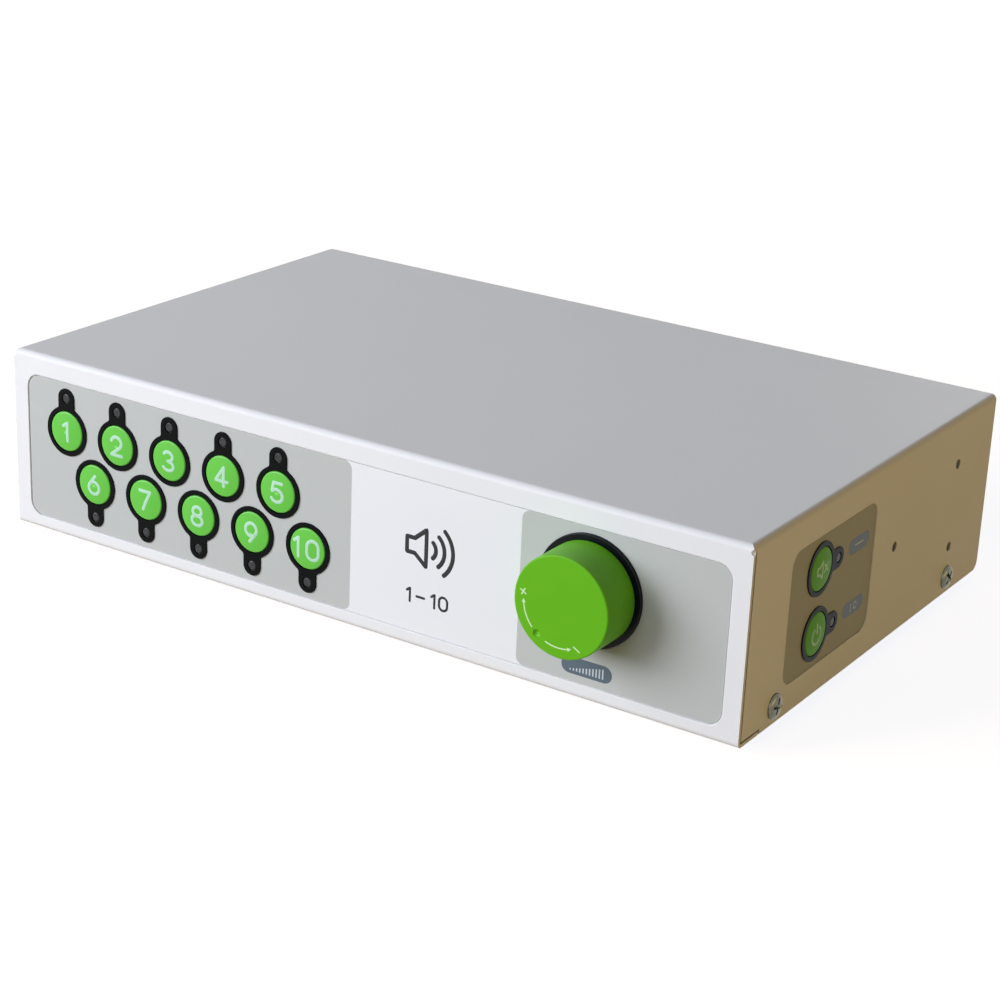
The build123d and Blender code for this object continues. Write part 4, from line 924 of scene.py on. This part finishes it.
one_to_ten = (
    shifted(FIGURES["1"], MIDDLE_X + FIRST_ONE, FIGURES_Z, SMALL)
    + [[(MIDDLE_X + x, FIGURES_Z) for x in DASH]]
    + shifted(FIGURES["1"], MIDDLE_X + ONE, FIGURES_Z, SMALL)
    + shifted(FIGURES["0"], MIDDLE_X + ZERO_AFTER, FIGURES_Z, SMALL)
)
speaker_sign = shifted(SPEAKER, MIDDLE_X + SPEAKER_X, SPEAKER_Z)
front_print = [
    (filled([pill(LEVEL_MIDDLE, LEVEL_LENGTH, LEVEL_WIDTH)], slate_ink), front_film_face),
    (printed(level_bars, pale_ink, THIN_LINE, Height=LEGEND_HEIGHT), front_film_face),
    (printed(speaker_sign, dark_ink, SPEAKER_LINE), front_film_face),
    (printed(one_to_ten, dark_ink, FIGURE_LINE), front_film_face),
]
add_piece("front_legends", front_print, "case")

# %% Pills and signs beside the side keys
SIDE_PILL_LENGTH, SIDE_PILL_WIDTH = 12.8, 4.5
SIDE_PILL_BEHIND_FRONT = 64.4
BAR_SIGN = [[(-2.4, 0), (2.4, 0)]]
ON_OFF_SIGN = [[(-1.6, 1.0), (-1.6, -1.0)], bow(1.2, 0, 0.9, 1.0, 0, 360)]
side_print = []
for number, sign in ((FRONT_KEYS + 1, BAR_SIGN), (FRONT_KEYS + 2, ON_OFF_SIGN)):
    middle = (SIDE_PILL_BEHIND_FRONT, (cap_middles[number].z - case_low.z) / MM)
    outline = pill(middle, SIDE_PILL_LENGTH, SIDE_PILL_WIDTH)
    signs = printed(shifted(sign, *middle), pale_ink, THIN_LINE, Height=LEGEND_HEIGHT)
    side_print += [(filled([outline], slate_ink), side_film_face), (signs, side_film_face)]
add_piece("side_legends", side_print, "case")

# %% [markdown]
# ## Legends behind
#
# The sockets need numbers as much as the keys do. Small dark figures stand above the ten outputs, an
# arrow into a ring marks the input, and the sign for direct current marks the supply.

# %% Figures and signs on the rear wall
OUTPUT_NUT, INLET_NUT = 4.0, 5.5
OUTPUT_PITCH, INPUT_STEP = 16.0, 20.0
nuts_low, nuts_high = (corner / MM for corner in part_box("socket_nuts"))
socket_z = (nuts_low.z + nuts_high.z) / 2
first_output = OUTPUT_NUT - nuts_high.x
output_xs = [first_output + i * OUTPUT_PITCH for i in range(FRONT_KEYS)]
inlet_x = -nuts_low.x - INLET_NUT
input_x = inlet_x - INPUT_STEP
ABOVE_SOCKET = 10.5
REAR_FIGURE, REAR_LINE = 0.54, 0.45
IN_RING = bow(0.9, 0, 1.3, 1.3, 140, -140)
IN_SIGN = [IN_RING, *([start, (0.6, 0)] for start in ((-3.0, 0), (-0.4, 0.9), (-0.4, -0.9)))]
SUPPLY_SIGN = [[(-2.2, 0.7), (2.2, 0.7)]] + [[(x, -0.7), (x + 1.2, -0.7)] for x in (-2.2, -0.6, 1.0)]
rear_strokes = []
for number, x in enumerate(output_xs, start=1):
    rear_strokes += shifted(number_strokes(number), x, socket_z + ABOVE_SOCKET, REAR_FIGURE)
rear_strokes += shifted(IN_SIGN, input_x, socket_z + ABOVE_SOCKET)
rear_strokes += shifted(SUPPLY_SIGN, inlet_x, socket_z + ABOVE_SOCKET)
rear_print = printed(rear_strokes, legend_grey, REAR_LINE)
add_piece("rear_legends", [(rear_print, rear_face)], "case")

# %% [markdown]
# ## Screws
#
# The cover is held by four pan-head screws with a cross drive, and smaller ones hold the feet. A
# head is a dome whose sides drop steeply, which a sphere becomes when its radius and height are
# raised to powers, and the drive is two tapered wedges cut out of it. Real screws never stop at the
# same angle, so each is turned by a fixed random amount.


# %% Tree of a pan-head screw
SIDE_POWER, CROWN_POWER = -0.42, 0.75
NEAR_AXIS = 0.0001
DRIVE_TAPER, DRIVE_ABOVE = 0.20, 0.05


def screw_tree():
    sizes = dict(Head=3.6, Rise=1.3, Drive=1.1, Reach=2.6, Deep=0.95, Shank=1.75, Length=6.0)
    shape = Shape("pan_head_screw", **sizes, Seed=3)
    head, rise = shape.given("Head"), shape.given("Rise")
    ball = shape.node("GeometryNodeMeshUVSphere", sockets={"Segments": 40, "Rings": 24, "Radius": 1.0})
    x, y, z = shape.place_parts()
    reach = (x * x + y * y) ** 0.5
    wider = (reach.at_least(NEAR_AXIS) ** SIDE_POWER) * head
    dome = shape.merged(shape.moved(ball, x * wider, y * wider, (z.at_least(0.0) ** CROWN_POWER) * rise))
    wedges = []
    for turn in (0.0, math.pi / 2):
        block = shape.node("GeometryNodeMeshCube", sockets={"Size": (2.0, 2.0, 2.0)})
        x, y, z = shape.place_parts()
        slope = (1.0 - DRIVE_TAPER) + DRIVE_TAPER * z
        lift = (z - 1.0) * shape.given("Deep") / 2.0 + rise + DRIVE_ABOVE
        half_width = shape.given("Drive") / 2.0
        block = shape.moved(block, x * slope * shape.given("Reach"), y * slope * half_width, lift)
        sockets = {"Geometry": block, "Rotation": (0.0, 0.0, turn)}
        wedges.append(shape.node("GeometryNodeTransform", sockets=sockets))
    settings = {"operation": "DIFFERENCE", "solver": "EXACT"}
    sockets = {"Mesh 1": dome, "Mesh 2": wedges, "Self Intersection": True}
    dome = shape.node("GeometryNodeMeshBoolean", settings, sockets)
    sockets = {"Vertices": 24, "Radius": shape.given("Shank"), "Depth": shape.given("Length")}
    shank = shape.node("GeometryNodeMeshCylinder", sockets=sockets)
    sockets = {"Geometry": shank, "Translation": shape.point(z=shape.given("Length") * -0.5)}
    shank = shape.node("GeometryNodeTransform", sockets=sockets)
    sockets = {2: 0.0, 3: 2 * math.pi, "Seed": shape.given("Seed")}
    spin = shape.node("FunctionNodeRandomValue", {"data_type": "FLOAT"}, sockets, output=1)
    return shape.finish(shape.at_points(shape.together(dome, shank), shape.point(z=spin)))


pan_head_screw = screw_tree()
print("tree:", pan_head_screw.name)


# %% Screws in the sides and in the feet
def screws_on(face, points, **sizes):
    """Screws of one size at points on one face, as a mesh and its matrix."""
    return grow(pan_head_screw, dots(points), screw_zinc_painted_glints, **sizes), face


CASE_HEAD = 3.6
screws_low, screws_high = (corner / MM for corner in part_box("case_screws"))
case_rise = screws_high.x - case_high.x / MM
screw_z = (screws_low.z + screws_high.z) / 2
case_points = [(y, screw_z, 0.0) for y in (screws_low.y + CASE_HEAD, screws_high.y - CASE_HEAD)]
mirrored_points = [(-y, z, out) for y, z, out in case_points]
case_parts = [
    screws_on(right_face, case_points, Head=CASE_HEAD, Rise=case_rise, Seed=4),
    screws_on(left_face, mirrored_points, Head=CASE_HEAD, Rise=case_rise, Seed=9),
]
add_piece("case_screw_set", case_parts, "case", ["case_screws"])

FOOT_HEAD, FOOT_RISE, FOOT_SHANK = 2.8, 1.4, 1.5
low, high = (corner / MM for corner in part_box("foot_screws"))
foot_points = [
    (x, -y, -(low.z + FOOT_RISE))
    for x in (low.x + FOOT_HEAD, high.x - FOOT_HEAD)
    for y in (low.y + FOOT_HEAD, high.y - FOOT_HEAD)
]
foot_length = high.z - low.z - FOOT_RISE
foot_sizes = dict(Head=FOOT_HEAD, Rise=FOOT_RISE, Drive=0.9, Reach=2.0, Shank=FOOT_SHANK, Length=foot_length)
foot_parts = [screws_on(under_face, foot_points, Seed=2, **foot_sizes)]
add_piece("foot_screw_set", foot_parts, "case", ["foot_screws"])

# %% [markdown]
# ## Socket nuts
#
# Each socket is drawn against the rear wall by a round nut, whose rim is knurled so that fingers can
# start it. A knurl is a circle whose radius swings back and forth; filled and pulled up it becomes
# the nut, and a bore keeps it open round the socket's nose.


# %% Tree of a knurled nut
KNURL_DEPTH = 0.20
STEPS_PER_TOOTH = 6
BORE_SIDES = 48


def nut_tree():
    shape = Shape("knurled_nut", Radius=OUTPUT_NUT, Bore=3.05, Height=2.0, Teeth=30)
    sockets = {"Resolution": shape.given("Teeth") * STEPS_PER_TOOTH, "Radius": 1.0}
    rim = shape.node("GeometryNodeCurvePrimitiveCircle", sockets=sockets)
    step = shape.node("GeometryNodeInputIndex")
    x, y, _ = shape.place_parts()
    wave = (step * (2 * math.pi / STEPS_PER_TOOTH)).cosine() - 1.0
    swing = shape.given("Radius") + wave * (KNURL_DEPTH / 2)
    rim = shape.moved(rim, x * swing, y * swing, 0.0)
    sockets = {"Resolution": BORE_SIDES, "Radius": shape.given("Bore")}
    bore = shape.node("GeometryNodeCurvePrimitiveCircle", sockets=sockets)
    nut = shape.slab(shape.together(rim, bore), shape.given("Height"))
    return shape.finish(shape.at_points(nut))


knurled_nut = nut_tree()
print("tree:", knurled_nut.name)

# %% Nuts on the sockets
nut_height = nuts_high.y - rear_high.y / MM
audio_dots = dots([(x, socket_z, 0.0) for x in (*output_xs, input_x)])
inlet_dot = dots([(inlet_x, socket_z, 0.0)])
inlet_sizes = {"Radius": INLET_NUT, "Bore": 4.05, "Teeth": 40}
nut_parts = [
    (grow(knurled_nut, audio_dots, nut_nickel, Height=nut_height), rear_face),
    (grow(knurled_nut, inlet_dot, nut_nickel, Height=nut_height, **inlet_sizes), rear_face),
]
add_piece("socket_nut_set", nut_parts, "case", ["socket_nuts"])

# %% [markdown]
# ## Studio
#
# The box stands on a plain pale floor under a weak sky. Floor and background look white to the
# camera, and in mirrors and clear things, because of their own colour there, never because of more
# lamplight on the box. Near the box the floor's own white leaves room for a shadow, and farther out
# it grows to the full white of the background, so that no horizon shows.


# %% Floor
def background_rays(nodes):
    """1 for rays that see the background itself: from the camera, mirrors and clear things."""
    kinds = ("Is Camera Ray", "Is Glossy Ray", "Is Transmission Ray")
    camera, glossy, clear = nodes.node("ShaderNodeLightPath").outputs(*kinds)
    return camera.at_least(glossy).at_least(clear)


FLOOR_REACH = 6.0
FLOOR_CLOUD_SIZE = 300.0
FLOOR_DARK, FLOOR_PALE = (0.42, 0.31, 0.17), (0.44, 0.325, 0.18)
WHITE_NEAR, WHITE_FAR = 0.45, 1.10
NEAR_WHITE, FAR_WHITE = (0.87, 0.89, 0.93), (1.0, 1.0, 1.0)
floor_mesh = bpy.data.meshes.new("floor")
corners = [(x * FLOOR_REACH, y * FLOOR_REACH, 0.0) for x, y in ((-1, -1), (1, -1), (1, 1), (-1, 1))]
floor_mesh.from_pydata(corners, [], [(0, 1, 2, 3)])
floor = placed("floor", floor_mesh)
floor_finish = Finish("floor_pale")
pale = floor_finish.mix(floor_finish.noise(FLOOR_CLOUD_SIZE), FLOOR_DARK, FLOOR_PALE)
x, y, _ = floor_finish.xyz()
farness = ((x * x + y * y) ** 0.5 - WHITE_NEAR) / (WHITE_FAR - WHITE_NEAR)
white = floor_finish.mix(farness.clamped(), NEAR_WHITE, FAR_WHITE)
own_white = floor_finish.mix(background_rays(floor_finish), (0.0, 0.0, 0.0), white)
floor_finish.set(
    base_color=pale,
    roughness=0.9,
    specular_ior_level=0.0,
    emission_color=own_white,
    emission_strength=1.0,
)
floor_mesh.materials.append(floor_finish.material)
print("floor reaches in m:", FLOOR_REACH)

# %% Sky
SKY_TINT = (0.042, 0.040, 0.036)
world = bpy.data.worlds.new("studio")
bpy.context.scene.world = world
world.use_nodes = True
sky = Nodes(world.node_tree)
sky_colour = world.node_tree.nodes["Background"].inputs["Color"]
sky.feed(sky_colour, sky.mix(background_rays(sky), SKY_TINT, FAR_WHITE))
print("sky:", SKY_TINT)

# %% [markdown]
# ## Lamps
#
# A large cool lamp from the front left stands for a window, and a smaller one in front softens the
# knob's shadow. A warm reflector keeps the right side readable, and two weak lamps light the back.
# Sun and point lamps would cast hard shadows, so all are area lamps, hidden from the camera and
# turned towards the box. Their powers keep white paint just below white.


# %% Lamps
def add_lamp(name, place, target, size, power, colour):
    lamp = bpy.data.lights.new(name, "AREA")
    lamp.shape = "RECTANGLE"
    lamp.size, lamp.size_y = size
    lamp.energy = power
    lamp.color = colour
    holder = placed(name, lamp)
    holder.location = place
    holder.rotation_euler = (Vector(target) - Vector(place)).to_track_quat("-Z", "Y").to_euler()
    holder.visible_camera = False


BOX_MIDDLE = (0.0, 0.0, 0.03)
DAYLIGHT = (0.87, 0.91, 1.0)
add_lamp("window", (-1.15, -1.28, 0.62), BOX_MIDDLE, (1.3, 1.0), 40.5, DAYLIGHT)
add_lamp("front_fill", (0.02, -1.75, 0.72), BOX_MIDDLE, (0.9, 0.7), 7.5, DAYLIGHT)
add_lamp("back_window", (-0.9, 1.5, 1.1), BOX_MIDDLE, (1.2, 0.9), 4.0, (1.0, 0.99, 0.96))
add_lamp("reflector", (1.2, 0.1, 0.16), (0.1, 0.0, 0.03), (1.2, 0.3), 2.85, (1.0, 0.66, 0.12))
add_lamp("rear_fill", (-0.25, 1.6, 0.14), (0.0, 0.08, 0.03), (0.5, 0.2), 4.5, (1.0, 0.98, 0.94))

# %% [markdown]
# ## Camera
#
# The camera stands to the right of the front and a little above it, tilted very slightly, with a
# portrait lens. The right and the back axis of its frame are written out, and it looks away from
# the back one.

# %% Camera
CAMERA_PLACE = (0.36155, -0.56023, 0.27402)
VIEW_RIGHT, VIEW_BACK = (0.8337, 0.5507, 0.0408), (0.5027, -0.7874, 0.3567)
camera_data = bpy.data.cameras.new("camera")
camera_data.sensor_width = 36.0
camera_data.lens = 84.80
camera = placed("camera", camera_data)
view_right, view_back = (Vector(axis).normalized() for axis in (VIEW_RIGHT, VIEW_BACK))
view_up = view_back.cross(view_right).normalized()
turn = Matrix((view_right, view_up, view_back)).transposed().to_4x4()
camera.matrix_world = Matrix.Translation(CAMERA_PLACE) @ turn
bpy.context.scene.camera = camera
bpy.context.scene.view_settings.view_transform = "Standard"
print("camera at", [round(v, 4) for v in camera.location])
